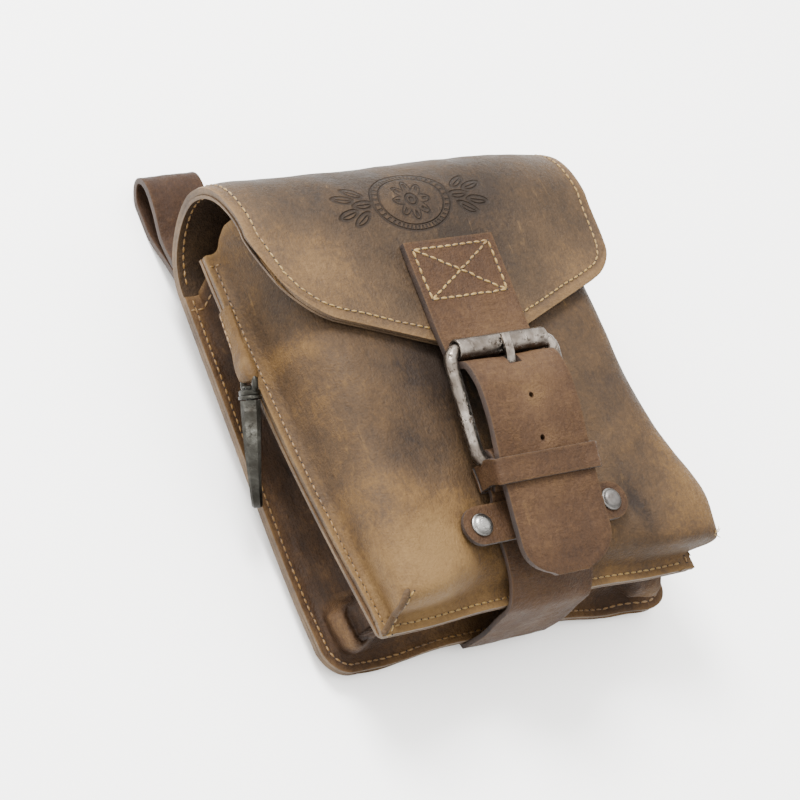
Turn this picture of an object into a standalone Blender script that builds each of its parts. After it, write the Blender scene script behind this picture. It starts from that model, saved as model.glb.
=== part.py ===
"""Leather belt bag with a buckled flap, as the pieces that it is sewn, riveted and hooked from.

Bag frame: x to the right, y from the bottom seam up to the fold, z from the back panel to the front.
The bag lies on its back, propped up by its two belt loops. A parent empty turns the bag frame into
that rest and puts the middle of the footprint at the world's origin. All lengths are in metres.
"""

from collections import namedtuple
from math import atan2, cos, pi, radians, sin, sqrt

import bmesh
import bpy
from mathutils import Matrix, Vector

mm = 0.001

# Clearances
gap = 0.3 * mm
easy_gap = 0.45 * mm

# Leathers
leather = 2.2 * mm
lining_leather = 1.2 * mm
lining_slack = 0.9 * mm
gusset_leather = 1.6 * mm
strap_leather = 3.0 * mm
lower_strap_leather = 2.2 * mm
trim_leather = 2.0 * mm
loop_leather = 2.6 * mm

# Back panel
back_height = 171.5 * mm
back_width_bottom = 170.0 * mm
back_width_top = 180.0 * mm
back_corner_radius = 13.0 * mm
back_corner_lift = 4.5 * mm
strap_pull = 5.0 * mm

# Fold and flap
fold_radius = 31.1 * mm
fold_width = 175.0 * mm
flap_drop = 36.0 * mm
flap_point_drop = 29.0 * mm
flap_corner_width = 157.0 * mm
flap_corner_radius = 9.0 * mm
flap_rise = 1.5 * mm
flap_side_droop = 5.5 * mm

# Gusset
gusset_fold = 13.0 * mm
seam_width = 6.2 * mm
gusset_top_margin = 1.8 * mm

# Front panel
front_rim_bottom = 5.8 * mm
front_rim_top_margin = 7.5 * mm
front_lip = 6.9 * mm
front_width_bottom = 159.2 * mm
front_width_top = 172.0 * mm
front_bow = 3.0 * mm
side_depth_bottom = 43.6 * mm
side_depth_top = 21.0 * mm
front_depth = 64.0 * mm
flange_width = 6.5 * mm
side_run = 17.0 * mm
corner_run = 6.0 * mm
middle_run = 30.0 * mm
corner_bulge = 13.5 * mm
bottom_bulge = 2.0 * mm
trough_width = 50.0 * mm

# Straps
strap_width = 45.0 * mm
strap_box_height = 51.0 * mm
tongue_length = 92.0 * mm
tongue_lift = 8.0 * mm
tongue_tip_length = 17.0 * mm
tongue_hole_radius = 1.1 * mm
tongue_hole_start = 21.1 * mm
tongue_hole_pitch = 17.3 * mm
strap_dip_length = 9.0 * mm
strap_dip_lift = 0.6 * mm
prong_slot_length = 9.6 * mm
prong_slot_room = 0.55 * mm
strap_back_length = 38.0 * mm
strap_return_length = 12.0 * mm
strap_return_drop = 1.3 * mm
strap_throat_length = 7.4 * mm
strap_throat_rise = 1.9 * mm

# Buckle
bar_above_band = 21.0 * mm
bar_above_front = 4.0 * mm
rod_radius = 2.8 * mm
roller_radius = 4.4 * mm
roller_wall = 1.15 * mm
buckle_room = 0.4 * mm
buckle_height = 49.0 * mm
buckle_corner_radius = 3.4 * mm
wrap_gap = 0.35 * mm
roller_rise = 5.2 * mm
prong_width = 5.0 * mm
prong_thickness = 2.0 * mm
prong_overhang = 2.0 * mm
prong_root_room = 0.9 * mm
prong_root_length = 13.0 * mm
prong_root_height = 16.0 * mm

# Keeper loop
keeper_width = 10.7 * mm
keeper_side_width = 8.3 * mm
keeper_room = 3.7 * mm
keeper_corner_radius = 4.0 * mm
keeper_place = 9.6 * mm
keeper_below_front = 4.4 * mm
keeper_shear_height = 7.0 * mm

# Cross band and rivets
band_width = 16.0 * mm
band_length = 82.0 * mm
band_place = 36.0 * mm
band_below_front = 1.2 * mm
rivet_radius = 4.75 * mm
rivet_height = 2.4 * mm
rivet_spacing = 65.4 * mm

# Belt loops
loop_width = 27.0 * mm
left_loop_reach = 57.5 * mm
right_loop_reach = 47.0 * mm
loop_depth = 18.0 * mm
loop_sewn_length = 30.0 * mm
loop_press = 0.6 * mm

# Hook, its eye and its tab
hook_below_fold = 57.5 * mm
hook_stand_off = 5.1 * mm
hook_drop = 1.8 * mm
hook_out_angle = radians(5.7)
hook_down_angle = radians(19.5)
hook_turn = radians(32.7)
hook_length = 42.5 * mm
hook_half_width = 8.0 * mm
hook_thickness = 6.6 * mm
hook_bar = 4.2 * mm
stem_radius = 1.7 * mm
stem_head_radius = 2.8 * mm
stem_head_height = 1.0 * mm
eye_knob_radius = 4.4 * mm
eye_collar_radius = 4.7 * mm
eye_collar_length = 1.5 * mm
eye_top = 4.5 * mm
eye_bar_place = 9.6 * mm
eye_span = 11.4 * mm
eye_rod_radius = 1.3 * mm
gate_bar = 2.6 * mm
gate_thickness = 2.2 * mm
gate_side = 4.2 * mm
gate_place = 13.5 * mm
gate_length = 17.2 * mm
gate_pin_radius = 0.8 * mm
ear_wall = 1.0 * mm
ear_side = 1.7 * mm
tab_width = 7.6 * mm
tab_leather = 1.6 * mm
tab_stand_off = 2.0 * mm
tab_reach = 19.0 * mm
tab_start = -0.895
tab_sewn_share = 0.025
tab_rise = 0.8

# Tables: every number is a share of the size that its column names
HeightRow = namedtuple("HeightRow", "share middle side")
WallRow = namedtuple("WallRow", "share run bulge rise flange")
BulgeRow = namedtuple("BulgeRow", "share left right")
AcrossRow = namedtuple("AcrossRow", "share lift")
FoldRow = namedtuple("FoldRow", "share depth")
StationRow = namedtuple("StationRow", "seam fold rise")
PathRow = namedtuple("PathRow", "along height")
HookRow = namedtuple("HookRow", "side along bar thickness")
TabRow = namedtuple("TabRow", "out up forward")

# Height of the front panel, in shares of front_depth, from its bottom rim to its top edge
front_heights = [
    HeightRow(share=0.00, middle=0.912, side=1.000),
    HeightRow(share=0.08, middle=0.915, side=1.000),
    HeightRow(share=0.20, middle=0.920, side=0.991),
    HeightRow(share=0.30, middle=0.926, side=0.978),
    HeightRow(share=0.42, middle=0.932, side=0.966),
    HeightRow(share=0.53, middle=0.926, side=0.947),
    HeightRow(share=0.65, middle=0.917, side=0.925),
    HeightRow(share=0.80, middle=0.907, side=0.894),
    HeightRow(share=0.90, middle=0.889, side=0.850),
    HeightRow(share=1.00, middle=0.829, side=0.758),
]

# Side and bottom walls of the front panel, from the flat front down to the flange's edge
front_wall = [
    WallRow(share=0.00, run=1.00, bulge=0.00, rise=1.00, flange=1.0),
    WallRow(share=0.15, run=0.76, bulge=0.60, rise=0.95, flange=1.0),
    WallRow(share=0.30, run=0.52, bulge=1.00, rise=0.83, flange=1.0),
    WallRow(share=0.45, run=0.33, bulge=0.95, rise=0.66, flange=1.0),
    WallRow(share=0.60, run=0.20, bulge=0.70, rise=0.45, flange=1.0),
    WallRow(share=0.73, run=0.10, bulge=0.35, rise=0.22, flange=1.0),
    WallRow(share=0.85, run=0.00, bulge=0.00, rise=0.03, flange=1.0),
    WallRow(share=1.00, run=0.00, bulge=0.00, rise=0.00, flange=0.0),
]

# Outward bulge of the two side walls, in shares of corner_bulge, from bottom to top
side_bulges = [
    BulgeRow(share=0.00, left=0.45, right=0.90),
    BulgeRow(share=0.10, left=0.45, right=1.00),
    BulgeRow(share=0.20, left=0.32, right=0.66),
    BulgeRow(share=0.33, left=0.15, right=0.20),
    BulgeRow(share=0.50, left=0.05, right=0.00),
    BulgeRow(share=0.80, left=0.05, right=0.02),
    BulgeRow(share=1.00, left=0.42, right=0.42),
]

# How far the front's height has gone from its middle value to its side value, from middle to shoulder
front_across = [
    AcrossRow(share=0.00, lift=0.00),
    AcrossRow(share=0.42, lift=0.00),
    AcrossRow(share=0.52, lift=0.60),
    AcrossRow(share=0.64, lift=0.64),
    AcrossRow(share=0.85, lift=0.92),
    AcrossRow(share=1.00, lift=1.00),
]

# Inward fold of the gusset, in shares of gusset_fold, from the mouth to the middle of the bottom
gusset_folds = [
    FoldRow(share=0.00, depth=0.04),
    FoldRow(share=0.10, depth=0.34),
    FoldRow(share=0.25, depth=0.90),
    FoldRow(share=0.40, depth=1.00),
    FoldRow(share=0.50, depth=0.76),
    FoldRow(share=0.56, depth=0.25),
    FoldRow(share=0.61, depth=-0.42),
    FoldRow(share=0.66, depth=-0.42),
    FoldRow(share=0.70, depth=0.10),
    FoldRow(share=0.76, depth=0.75),
    FoldRow(share=0.84, depth=1.00),
    FoldRow(share=1.00, depth=0.85),
]

# Stations across the gusset, from the back panel's rim to the front panel's rim
gusset_stations = [
    StationRow(seam=0.0, fold=0.00, rise=0.00),
    StationRow(seam=1.0, fold=0.00, rise=0.00),
    StationRow(seam=1.0, fold=0.55, rise=0.14),
    StationRow(seam=1.0, fold=0.96, rise=0.38),
    StationRow(seam=1.0, fold=0.96, rise=0.62),
    StationRow(seam=1.0, fold=0.55, rise=0.86),
    StationRow(seam=1.0, fold=0.00, rise=1.00),
    StationRow(seam=0.0, fold=0.00, rise=1.00),
]

# Free tongue of the flap strap, in shares of tongue_length and tongue_lift, from roller to tip
tongue_path = [
    PathRow(along=0.020, height=0.50),
    PathRow(along=0.065, height=0.80),
    PathRow(along=0.135, height=1.02),
    PathRow(along=0.205, height=1.04),
    PathRow(along=0.317, height=0.91),
    PathRow(along=0.437, height=0.60),
    PathRow(along=0.535, height=0.32),
    PathRow(along=0.640, height=0.17),
    PathRow(along=0.745, height=-0.03),
    PathRow(along=0.860, height=-0.22),
    PathRow(along=1.000, height=-0.65),
]

# Inner face of the lower strap where it follows the front down, in shares of front_depth from the
# back panel's bottom edge: along up the front, height above the back panel
lower_strap_bend = [
    PathRow(along=0.703, height=0.974),
    PathRow(along=0.650, height=0.968),
    PathRow(along=0.616, height=0.935),
    PathRow(along=0.575, height=0.925),
    PathRow(along=0.494, height=0.915),
    PathRow(along=0.383, height=0.889),
    PathRow(along=0.281, height=0.850),
    PathRow(along=0.188, height=0.803),
    PathRow(along=0.102, height=0.745),
    PathRow(along=0.031, height=0.680),
    PathRow(along=0.014, height=0.594),
    PathRow(along=-0.002, height=0.390),
    PathRow(along=-0.008, height=0.190),
    PathRow(along=-0.006, height=0.055),
]

# Outer face of a belt loop seen from its end, in shares of its reach and loop_depth: up its front
# run and down its back run
loop_path = [
    PathRow(along=0.08, height=0.030),
    PathRow(along=0.20, height=0.110),
    PathRow(along=0.34, height=0.245),
    PathRow(along=0.50, height=0.330),
    PathRow(along=0.68, height=0.225),
    PathRow(along=0.84, height=0.190),
    PathRow(along=0.95, height=0.290),
    PathRow(along=1.00, height=0.530),
    PathRow(along=0.96, height=0.800),
    PathRow(along=0.84, height=0.995),
    PathRow(along=0.68, height=0.975),
    PathRow(along=0.52, height=0.850),
    PathRow(along=0.36, height=0.630),
    PathRow(along=0.20, height=0.430),
    PathRow(along=0.08, height=0.350),
]

# Centre line of the hook, in shares of hook_half_width and hook_length, with its bar and its thickness
# in shares of hook_bar and hook_thickness
hook_path = [
    HookRow(side=0.00, along=0.000, bar=1.60, thickness=1.00),
    HookRow(side=0.00, along=0.060, bar=1.75, thickness=1.00),
    HookRow(side=-0.06, along=0.140, bar=1.95, thickness=1.00),
    HookRow(side=-0.30, along=0.240, bar=1.45, thickness=0.96),
    HookRow(side=-0.58, along=0.340, bar=1.05, thickness=0.90),
    HookRow(side=-0.72, along=0.450, bar=0.95, thickness=0.84),
    HookRow(side=-0.76, along=0.580, bar=0.92, thickness=0.76),
    HookRow(side=-0.74, along=0.700, bar=0.90, thickness=0.68),
    HookRow(side=-0.60, along=0.830, bar=0.90, thickness=0.60),
    HookRow(side=-0.30, along=0.930, bar=0.90, thickness=0.55),
    HookRow(side=0.08, along=0.955, bar=0.88, thickness=0.54),
    HookRow(side=0.46, along=0.895, bar=0.82, thickness=0.52),
    HookRow(side=0.68, along=0.790, bar=0.72, thickness=0.50),
    HookRow(side=0.74, along=0.700, bar=0.60, thickness=0.48),
]

# Middle line of the tab between its seam and the eye's bar, in shares of tab_reach from the bar
tab_steps = [
    TabRow(out=0.263, up=1.000, forward=-0.768),
    TabRow(out=0.021, up=0.726, forward=-0.558),
    TabRow(out=0.011, up=0.447, forward=-0.232),
]


# Small sums

def mix(low, high, share):
    return low + (high - low) * share


def clamp(value, low=0.0, high=1.0):
    return max(low, min(high, value))


def smooth(share):
    share = clamp(share)
    return share * share * (3 - 2 * share)


def rounding(distance, radius):
    """How far a rounded corner has drawn in, at a distance before its end."""
    if distance >= radius:
        return 0.0
    return radius - sqrt(max(0.0, radius * radius - (radius - distance) ** 2))


def read(rows, column, share):
    """Value of a table's column at a share, on a smooth curve through its rows."""
    shares = [row.share for row in rows]
    values = [getattr(row, column) for row in rows]
    if share <= shares[0]:
        return values[0]
    if share >= shares[-1]:
        return values[-1]
    last = len(rows) - 1
    low = max(index for index in range(last) if shares[index] <= share)
    high = low + 1
    step = shares[high] - shares[low]

    def slope(index):
        before = max(index - 1, 0)
        after = min(index + 1, last)
        return (values[after] - values[before]) / (shares[after] - shares[before])

    t = (share - shares[low]) / step
    start = (2 * t ** 3 - 3 * t ** 2 + 1) * values[low] + (t ** 3 - 2 * t ** 2 + t) * step * slope(low)
    finish = (3 * t ** 2 - 2 * t ** 3) * values[high] + (t ** 3 - t ** 2) * step * slope(high)
    return start + finish


def curve_through(points, pieces):
    """Points of a smooth curve through a few given points, with each span cut into equal pieces."""
    found = []
    for index in range(len(points) - 1):
        before = points[max(index - 1, 0)]
        start = points[index]
        finish = points[index + 1]
        after = points[min(index + 2, len(points) - 1)]
        for step in range(pieces):
            t = step / pieces
            found.append(0.5 * (2 * start + (finish - before) * t
                                + (2 * before - 5 * start + 4 * finish - after) * t ** 2
                                + (3 * start - before - 3 * finish + after) * t ** 3))
    found.append(points[-1].copy())
    return found


def even(count, low=0.0, high=1.0):
    return [mix(low, high, index / count) for index in range(count + 1)]


# Mesh makers

def material(name, colour, roughness, metallic):
    made = bpy.data.materials.new(name)
    made.use_nodes = True
    shader = made.node_tree.nodes["Principled BSDF"]
    shader.inputs["Base Color"].default_value = (*colour, 1.0)
    shader.inputs["Roughness"].default_value = roughness
    shader.inputs["Metallic"].default_value = metallic
    return made


def add_object(name, bm, look, holder, smooth_angle=35.0):
    mesh = bpy.data.meshes.new(name)
    bm.to_mesh(mesh)
    bm.free()
    mesh.materials.append(look)
    mesh.shade_smooth()
    mesh.set_sharp_from_angle(angle=radians(smooth_angle))
    made = bpy.data.objects.new(name, mesh)
    bpy.context.scene.collection.objects.link(made)
    made.parent = holder
    return made


def add_cutter(name, bm, holder):
    mesh = bpy.data.meshes.new(name)
    bm.to_mesh(mesh)
    bm.free()
    made = bpy.data.objects.new(name, mesh)
    bpy.context.scene.collection.objects.link(made)
    made.parent = holder
    made.hide_render = True
    made.display_type = "WIRE"
    return made


def combine(piece, other, operation):
    step = piece.modifiers.new(other.name, "BOOLEAN")
    step.operation = operation
    step.solver = "EXACT"
    step.object = other


def grid(across, along, place):
    """A grid of points, each placed by its value across and its value along."""
    bm = bmesh.new()
    last_across = len(across) - 1
    last_along = len(along) - 1
    bmesh.ops.create_grid(bm, x_segments=last_across, y_segments=last_along, size=1.0)
    for vertex in bm.verts:
        column = round((vertex.co.x + 1) / 2 * last_across)
        row = round((vertex.co.y + 1) / 2 * last_along)
        vertex.co = place(across[column], along[row])
    return bm


def leather_sheet(name, across, along, place, thickness, look, holder, flip=False):
    """A leather piece: its outer face is the grid, and its wall is added on the inner side."""
    bm = grid(across, along, place)
    if flip:
        bmesh.ops.reverse_faces(bm, faces=bm.faces)
    made = add_object(name, bm, look, holder)
    wall = made.modifiers.new("wall", "SOLIDIFY")
    wall.thickness = thickness
    wall.offset = -1.0
    return made


def strip(name, path, half_width, thickness, look, holder, across=4, middle=0.0, flip=False):
    """A strap along a path of (y, z) points. half_width gives its half width at each point's index."""
    def place(side, row):
        point = path[row]
        return Vector((middle + side * half_width(row), point.x, point.y))
    return leather_sheet(name, even(across, -1.0), list(range(len(path))), place, thickness, look,
                         holder, flip)


def join_rings(bm, rings, capped=False, closed=False):
    """Faces between rings of points: capped at both ends, or closed from the last ring to the first."""
    pairs = list(zip(rings, rings[1:]))
    if closed:
        pairs.append((rings[-1], rings[0]))
    for first, second in pairs:
        for index in range(len(first)):
            bm.faces.new((first[index - 1], first[index], second[index], second[index - 1]))
    if capped:
        bm.faces.new(rings[0])
        bm.faces.new(rings[-1])
    bmesh.ops.recalc_face_normals(bm, faces=bm.faces)


def rod_ring(path, normal, radius, sides):
    """A closed round rod along a flat closed path."""
    bm = bmesh.new()
    rings = []
    for index, point in enumerate(path):
        direction = (path[(index + 1) % len(path)] - path[index - 1]).normalized()
        away = direction.cross(normal)
        rings.append([bm.verts.new(point + (away * cos(turn) + normal * sin(turn)) * radius)
                      for turn in even(sides, 0, 2 * pi)[:-1]])
    join_rings(bm, rings, closed=True)
    return bm


def rounded_rectangle(half_width, low, high, radius, steps, side_steps=1):
    """Points round a rectangle with rounded corners, as (across, up) pairs."""
    points = []
    corners = ((1, high, 0), (-1, high, 1), (-1, low, 2), (1, low, 3))
    for sign, up, quarter in corners:
        centre_x = sign * (half_width - radius)
        centre_up = up - radius if up == high else up + radius
        for turn in even(steps, quarter * pi / 2, (quarter + 1) * pi / 2):
            points.append((centre_x + radius * cos(turn), centre_up + radius * sin(turn)))
        if quarter % 2:
            start = centre_up
            finish = low + radius if up == high else high - radius
            points += [(sign * half_width, mix(start, finish, share)) for share in even(side_steps)[1:-1]]
    return points


def turned(profile, origin, axis, steps=20):
    """A solid turned round an axis. The profile is (radius, place along the axis), closed at radius 0."""
    bm = bmesh.new()
    turn = axis.to_track_quat("Z", "X").to_matrix().to_4x4()
    points = [bm.verts.new((radius, 0, along)) for radius, along in profile]
    edges = [bm.edges.new(pair) for pair in zip(points, points[1:])]
    bmesh.ops.spin(bm, geom=points + edges, cent=(0, 0, 0), axis=(0, 0, 1), angle=2 * pi,
                   steps=steps, use_duplicate=False)
    bmesh.ops.remove_doubles(bm, verts=bm.verts, dist=0.01 * mm)
    bmesh.ops.recalc_face_normals(bm, faces=bm.faces)
    bmesh.ops.transform(bm, matrix=Matrix.Translation(origin) @ turn, verts=bm.verts)
    return bm


def cylinder(middle, axis, radius, half_length, steps):
    profile = [(0.0, -half_length), (radius, -half_length), (radius, half_length), (0.0, half_length)]
    return turned(profile, middle, axis, steps)


def block(corner, opposite):
    bm = bmesh.new()
    bmesh.ops.create_cube(bm, size=1.0)
    size = opposite - corner
    middle = (opposite + corner) / 2
    bmesh.ops.scale(bm, vec=size, verts=bm.verts)
    bmesh.ops.translate(bm, vec=middle, verts=bm.verts)
    return bm


# Shape of the back panel, the fold and the flap

def pulled_up(x):
    """How far the lower strap pulls the bottom seams up, strongest under the strap."""
    return strap_pull * (1 - smooth((abs(x) - strap_width * 0.55) / (strap_width * 0.8)))


def corner_lift(x, y):
    """How far the back panel's bottom corners curl up towards the front."""
    sideways = clamp((abs(x) / (back_width_bottom / 2) - 0.5) / 0.5)
    downwards = clamp(1 - y / (back_height * 0.4))
    return back_corner_lift * sideways ** 2 * downwards ** 2


def back_half_width(y):
    return mix(back_width_bottom, back_width_top, y / back_height) / 2


def flap_end(side):
    """Bottom edge of the flap at a share of its half width: a shallow point between two corners."""
    return back_height - flap_drop - flap_point_drop * (1 - abs(side))


def fold_radius_at(side):
    return fold_radius - flap_side_droop / 2 * abs(side) ** 4


def flap_height(side, share):
    """Outer face of the flap in front of the fold, from the fold (0) to its end (1)."""
    full = 2 * fold_radius + flap_rise * share
    return full - flap_side_droop * abs(side) ** 4 * (1 - smooth(share))


def body_leather(side, along):
    """Outer face of the back (along 0 to 1), the fold (1 to 2) and the flap (2 to 3)."""
    if along <= 1:
        y = along * back_height
        half = back_half_width(y) - rounding(y, back_corner_radius)
        x = side * half
        y += pulled_up(x) * clamp(1 - y / (back_height * 0.25))
        return Vector((x, y, corner_lift(x, y)))
    if along <= 2:
        turn = (along - 1) * pi
        radius = fold_radius_at(side)
        half = mix(back_width_top, fold_width, smooth(along - 1)) / 2
        return Vector((side * half, back_height + radius * sin(turn), radius * (1 - cos(turn))))
    share = along - 2
    half = mix(fold_width, flap_corner_width, share) / 2
    end = flap_end(side) + rounding((1 - abs(side)) * half, flap_corner_radius)
    y = mix(back_height, end, share)
    return Vector((side * half, y, flap_height(side, share)))


def lining_face(side, along):
    """Outer face of the lining, a little inside the body leather's inner face."""
    turn = clamp(along - 1) * pi
    inwards = Vector((0, -sin(turn), cos(turn)))
    depth = leather + easy_gap + lining_slack * abs(side) ** 4 * clamp(along - 1)
    return body_leather(side, along) + inwards * depth


# Shape of the front panel

front_rim_top = back_height + front_rim_top_margin
front_top = front_rim_top + front_lip
front_height = front_top - front_rim_bottom


def front_half_width(y):
    share = clamp((y - front_rim_bottom) / (front_rim_top - front_rim_bottom))
    return mix(front_width_bottom, front_width_top, share) / 2 + front_bow * sin(pi * share)


def side_depth(y):
    """Height of the front panel's rim above the back panel."""
    share = clamp((y - front_rim_bottom) / (front_rim_top - front_rim_bottom))
    return mix(side_depth_bottom, side_depth_top, share)


def front_rim_y(x):
    return front_rim_bottom + 0.3 * pulled_up(x)


def front_face_height(x, y, shoulder):
    share = (y - front_rim_bottom) / front_height
    lift = read(front_across, "lift", abs(x) / shoulder)
    middle = read(front_heights, "middle", share)
    side = read(front_heights, "side", share)
    return front_depth * mix(middle, side, lift)


def front_panel(across, along):
    """Outer face of the front panel. across runs from -2 to 2 and along from -1 to 1: within 1 of the
    middle, and above 0, lies the front face, and beyond lie the walls down to the flange's edge."""
    plain = WallRow(share=0, run=1, bulge=0, rise=1, flange=1)
    side_wall = plain
    if abs(across) > 1:
        side_wall = WallRow(*(read(front_wall, column, abs(across) - 1) for column in WallRow._fields))
    bottom_wall = plain
    if along < 0:
        bottom_wall = WallRow(*(read(front_wall, column, -along) for column in WallRow._fields))
    share = clamp(along)
    side_bulge = side_wall.bulge
    low_bulge = bottom_wall.bulge
    if side_wall.rise > bottom_wall.rise:
        side_bulge = min(side_bulge, low_bulge)
    else:
        low_bulge = min(side_bulge, low_bulge)
    side_bulge *= read(side_bulges, "left" if across < 0 else "right", share) * corner_bulge
    y_guess = mix(front_rim_bottom, front_top, share)
    half = front_half_width(y_guess) - flange_width * side_wall.flange
    shoulder = front_half_width(y_guess) - flange_width - side_run
    reach = half - side_run * side_wall.run + side_bulge
    if share < 0.3:
        tight = 1 - smooth(share / 0.3)
        reach += (side_run - corner_run) * side_wall.run * tight
        shoulder += (side_run - corner_run) * tight
    x = clamp(across, -1, 1) * reach
    run = mix(middle_run, corner_run, smooth((abs(x) - trough_width * 0.4) / (trough_width * 0.8)))
    low_y = front_rim_y(x) + flange_width * bottom_wall.flange
    low_y += run * bottom_wall.run - bottom_bulge * low_bulge
    rise = min(side_wall.rise, bottom_wall.rise)
    high_y = mix(front_rim_top, front_top, sqrt(clamp(2.2 * side_wall.rise)))
    y = mix(low_y, high_y, share)
    rim = side_depth(y)
    return Vector((x, y, mix(rim, front_face_height(x, y, shoulder), rise)))


# Shape of the gusset

def back_rim(share):
    return rim_point(share, back_half_width, back_height - gusset_top_margin, 0.0, back_corner_radius,
                     pulled_up)


def front_rim(share):
    return rim_point(share, front_half_width, front_rim_top, front_rim_bottom, 3.0 * mm,
                     lambda x: 0.3 * pulled_up(x))


def rim_point(share, half_width, top, bottom, radius, pull):
    """Point and inward direction on a rim, from the mouth (0) to the middle of the bottom (1)."""
    side_end = 0.58
    corner_end = 0.70
    if share <= side_end:
        y = mix(top, bottom + radius, share / side_end)
        return Vector((half_width(y), y, 0)), Vector((-1, 0, 0))
    half = half_width(bottom + radius)
    if share <= corner_end:
        turn = (share - side_end) / (corner_end - side_end) * pi / 2
        inwards = Vector((-cos(turn), -sin(turn), 0))
        centre = Vector((half - radius, bottom + radius, 0))
        outwards = Vector((cos(turn), -sin(turn), 0))
        return centre + outwards * radius, -outwards
    x = mix(half - radius, 0.0, (share - corner_end) / (1 - corner_end))
    return Vector((x, bottom + pull(x), 0)), Vector((0, 1, 0))


def gusset(along, station):
    """Outer face of the gusset. along runs from -1 at the left mouth to 1 at the right mouth."""
    share = 1 - abs(along)
    row = gusset_stations[station]
    back_point, back_inwards = back_rim(share)
    front_point, front_inwards = front_rim(share)
    back_point.z = leather + easy_gap + gusset_leather + corner_lift(back_point.x, back_point.y)
    front_point.z = side_depth(front_point.y) - leather - gap - gusset_leather
    inwards = back_inwards.lerp(front_inwards, row.rise).normalized()
    depth = gusset_fold * read(gusset_folds, "depth", share)
    point = back_point.lerp(front_point, row.rise) + inwards * (seam_width * row.seam + depth * row.fold)
    if along < 0:
        point.x = -point.x
    return point


# Places that several pieces share

bottom_bar = Vector((0, band_place + bar_above_band, front_depth + bar_above_front))
roller_axis = bottom_bar + Vector((0, buckle_height, roller_rise))
buckle_up = (roller_axis - bottom_bar).normalized()
roller_reach = roller_radius + easy_gap
half_strap = strap_width / 2
buckle_width = strap_width + 2 * (buckle_room + rod_radius)
roller_length = buckle_width - 2 * (buckle_corner_radius + gap)
keeper_half_span = half_strap + keeper_room + trim_leather
keeper_bottom = front_depth - keeper_below_front
band_bottom = front_depth - band_below_front
sideways = Vector((1, 0, 0))


def flap_strap_line():
    """Top face of the flap strap as (y, z) points, from the fold under the roller to the tongue's tip."""
    line = []
    for share in even(5):
        y = roller_axis.y + mix(strap_box_height, strap_dip_length, share)
        flap_share = clamp((back_height - y) / (flap_drop + flap_point_drop))
        face = 2 * fold_radius + flap_rise * flap_share
        line.append(Vector((y, face + gap + strap_leather + strap_dip_lift * share)))
    for turn in even(5, -100.0, -172.0):
        angle = radians(turn)
        line.append(Vector((roller_axis.y + roller_reach * cos(angle),
                            roller_axis.z + roller_reach * sin(angle))))
    start = line[-1]
    rise = [Vector((start.x - tongue_length * row.along, roller_axis.z + tongue_lift * row.height))
            for row in tongue_path]
    return line + curve_through([start] + rise, 2)[1:]


def height_on(line, y):
    """Height of a line that runs down along y, at one y."""
    for first, second in zip(line, line[1:]):
        if second.x <= y <= first.x:
            return mix(first.y, second.y, (first.x - y) / (first.x - second.x))
    return line[-1].y


def lower_strap_line():
    """Face of the lower strap away from the buckle's bar, from the return layer round to the back."""
    outer = rod_radius + wrap_gap + lower_strap_leather
    centre = Vector((bottom_bar.y, bottom_bar.z))
    line = [centre + Vector((-strap_return_length, -strap_return_drop)),
            centre + Vector((-strap_throat_length, strap_throat_rise))]
    for turn in even(7, 125.0, -90.0):
        line.append(centre + Vector((cos(radians(turn)), sin(radians(turn)))) * outer)
    edge = strap_pull
    bend = [Vector((edge + row.along * front_depth, row.height * front_depth)) for row in lower_strap_bend]
    line += bend
    line.append(Vector((edge - gap, gap)))
    line.append(Vector((edge - 0.7 * gap, -0.5 * gap)))
    line.append(Vector((edge + gap, -gap)))
    line += [Vector((y, -gap)) for y in even(3, edge + 2 * mm, edge + strap_back_length)]
    return line


def loop_line(reach):
    """Outer face of a belt loop as (y, z) points, from its sewn end over the loop to the other end.
    reach is how far the loop stands out past the back panel's top."""
    stack = gap + 2 * loop_leather + gap
    bend = [Vector((back_height + reach * row.along, -loop_depth * row.height)) for row in loop_path]
    bend = curve_through([Vector((back_height, -gap))] + bend + [Vector((back_height, -stack))], 2)
    low = [Vector((y, -gap)) for y in even(2, back_height - loop_sewn_length, back_height)[:-1]]
    return low + bend + [Vector((point.x, -stack)) for point in reversed(low)]


def lowest(points, tilt):
    return min(points, key=lambda point: point.x * sin(tilt) + point.y * cos(tilt))


def rest_tilt():
    """Slope of the ground that touches the lower strap and the two belt loops, and its height."""
    strap = [point + Vector((0, -lower_strap_leather)) for point in lower_strap_line()[-4:]]
    loop = [point + Vector((0, loop_press)) for point in loop_line(left_loop_reach)]
    tilt = 0.0
    for step in range(6):
        near = lowest(strap, tilt)
        far = lowest(loop, tilt)
        tilt = atan2(near.y - far.y, far.x - near.x)
    return tilt, near.x * sin(tilt) + near.y * cos(tilt)


rest_angle, ground = rest_tilt()


# Sewn leathers

def build_body(holder, looks):
    corner = [back_corner_radius * (1 - cos(turn)) / back_height for turn in even(4, 0, pi / 2)]
    back_rows = corner + even(7, corner[-1], 1.0)[1:]
    flap_rows = even(4, 2.0, 3.0)[1:]
    rows = back_rows + even(9, 1.0, 2.0)[1:] + flap_rows
    half = even(6, 0.0, 0.88) + [0.925, 0.968, 1.0]
    columns = [-value for value in reversed(half[1:])] + half
    leather_sheet("back_and_flap", columns, rows, body_leather, leather, looks["body"], holder, flip=True)
    lining_start = 1 - (gusset_top_margin - 3 * gap) / back_height
    lining_rows = [lining_start] + even(9, 1.0, 2.0) + flap_rows
    leather_sheet("flap_lining", columns, lining_rows, lining_face, lining_leather, looks["lining"], holder,
                  flip=True)


def build_front(holder, looks):
    wall = [row.share for row in front_wall]
    walls = [1 + share for share in reversed(wall)]
    half = walls + [0.82, 0.64, 0.5, 0.43, 0.3]
    columns = [-value for value in half] + [0.0] + list(reversed(half))
    rows = [-share for share in reversed(wall)] + even(10)[1:]
    leather_sheet("front_panel", columns, rows, front_panel, leather, looks["body"], holder)


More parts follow.
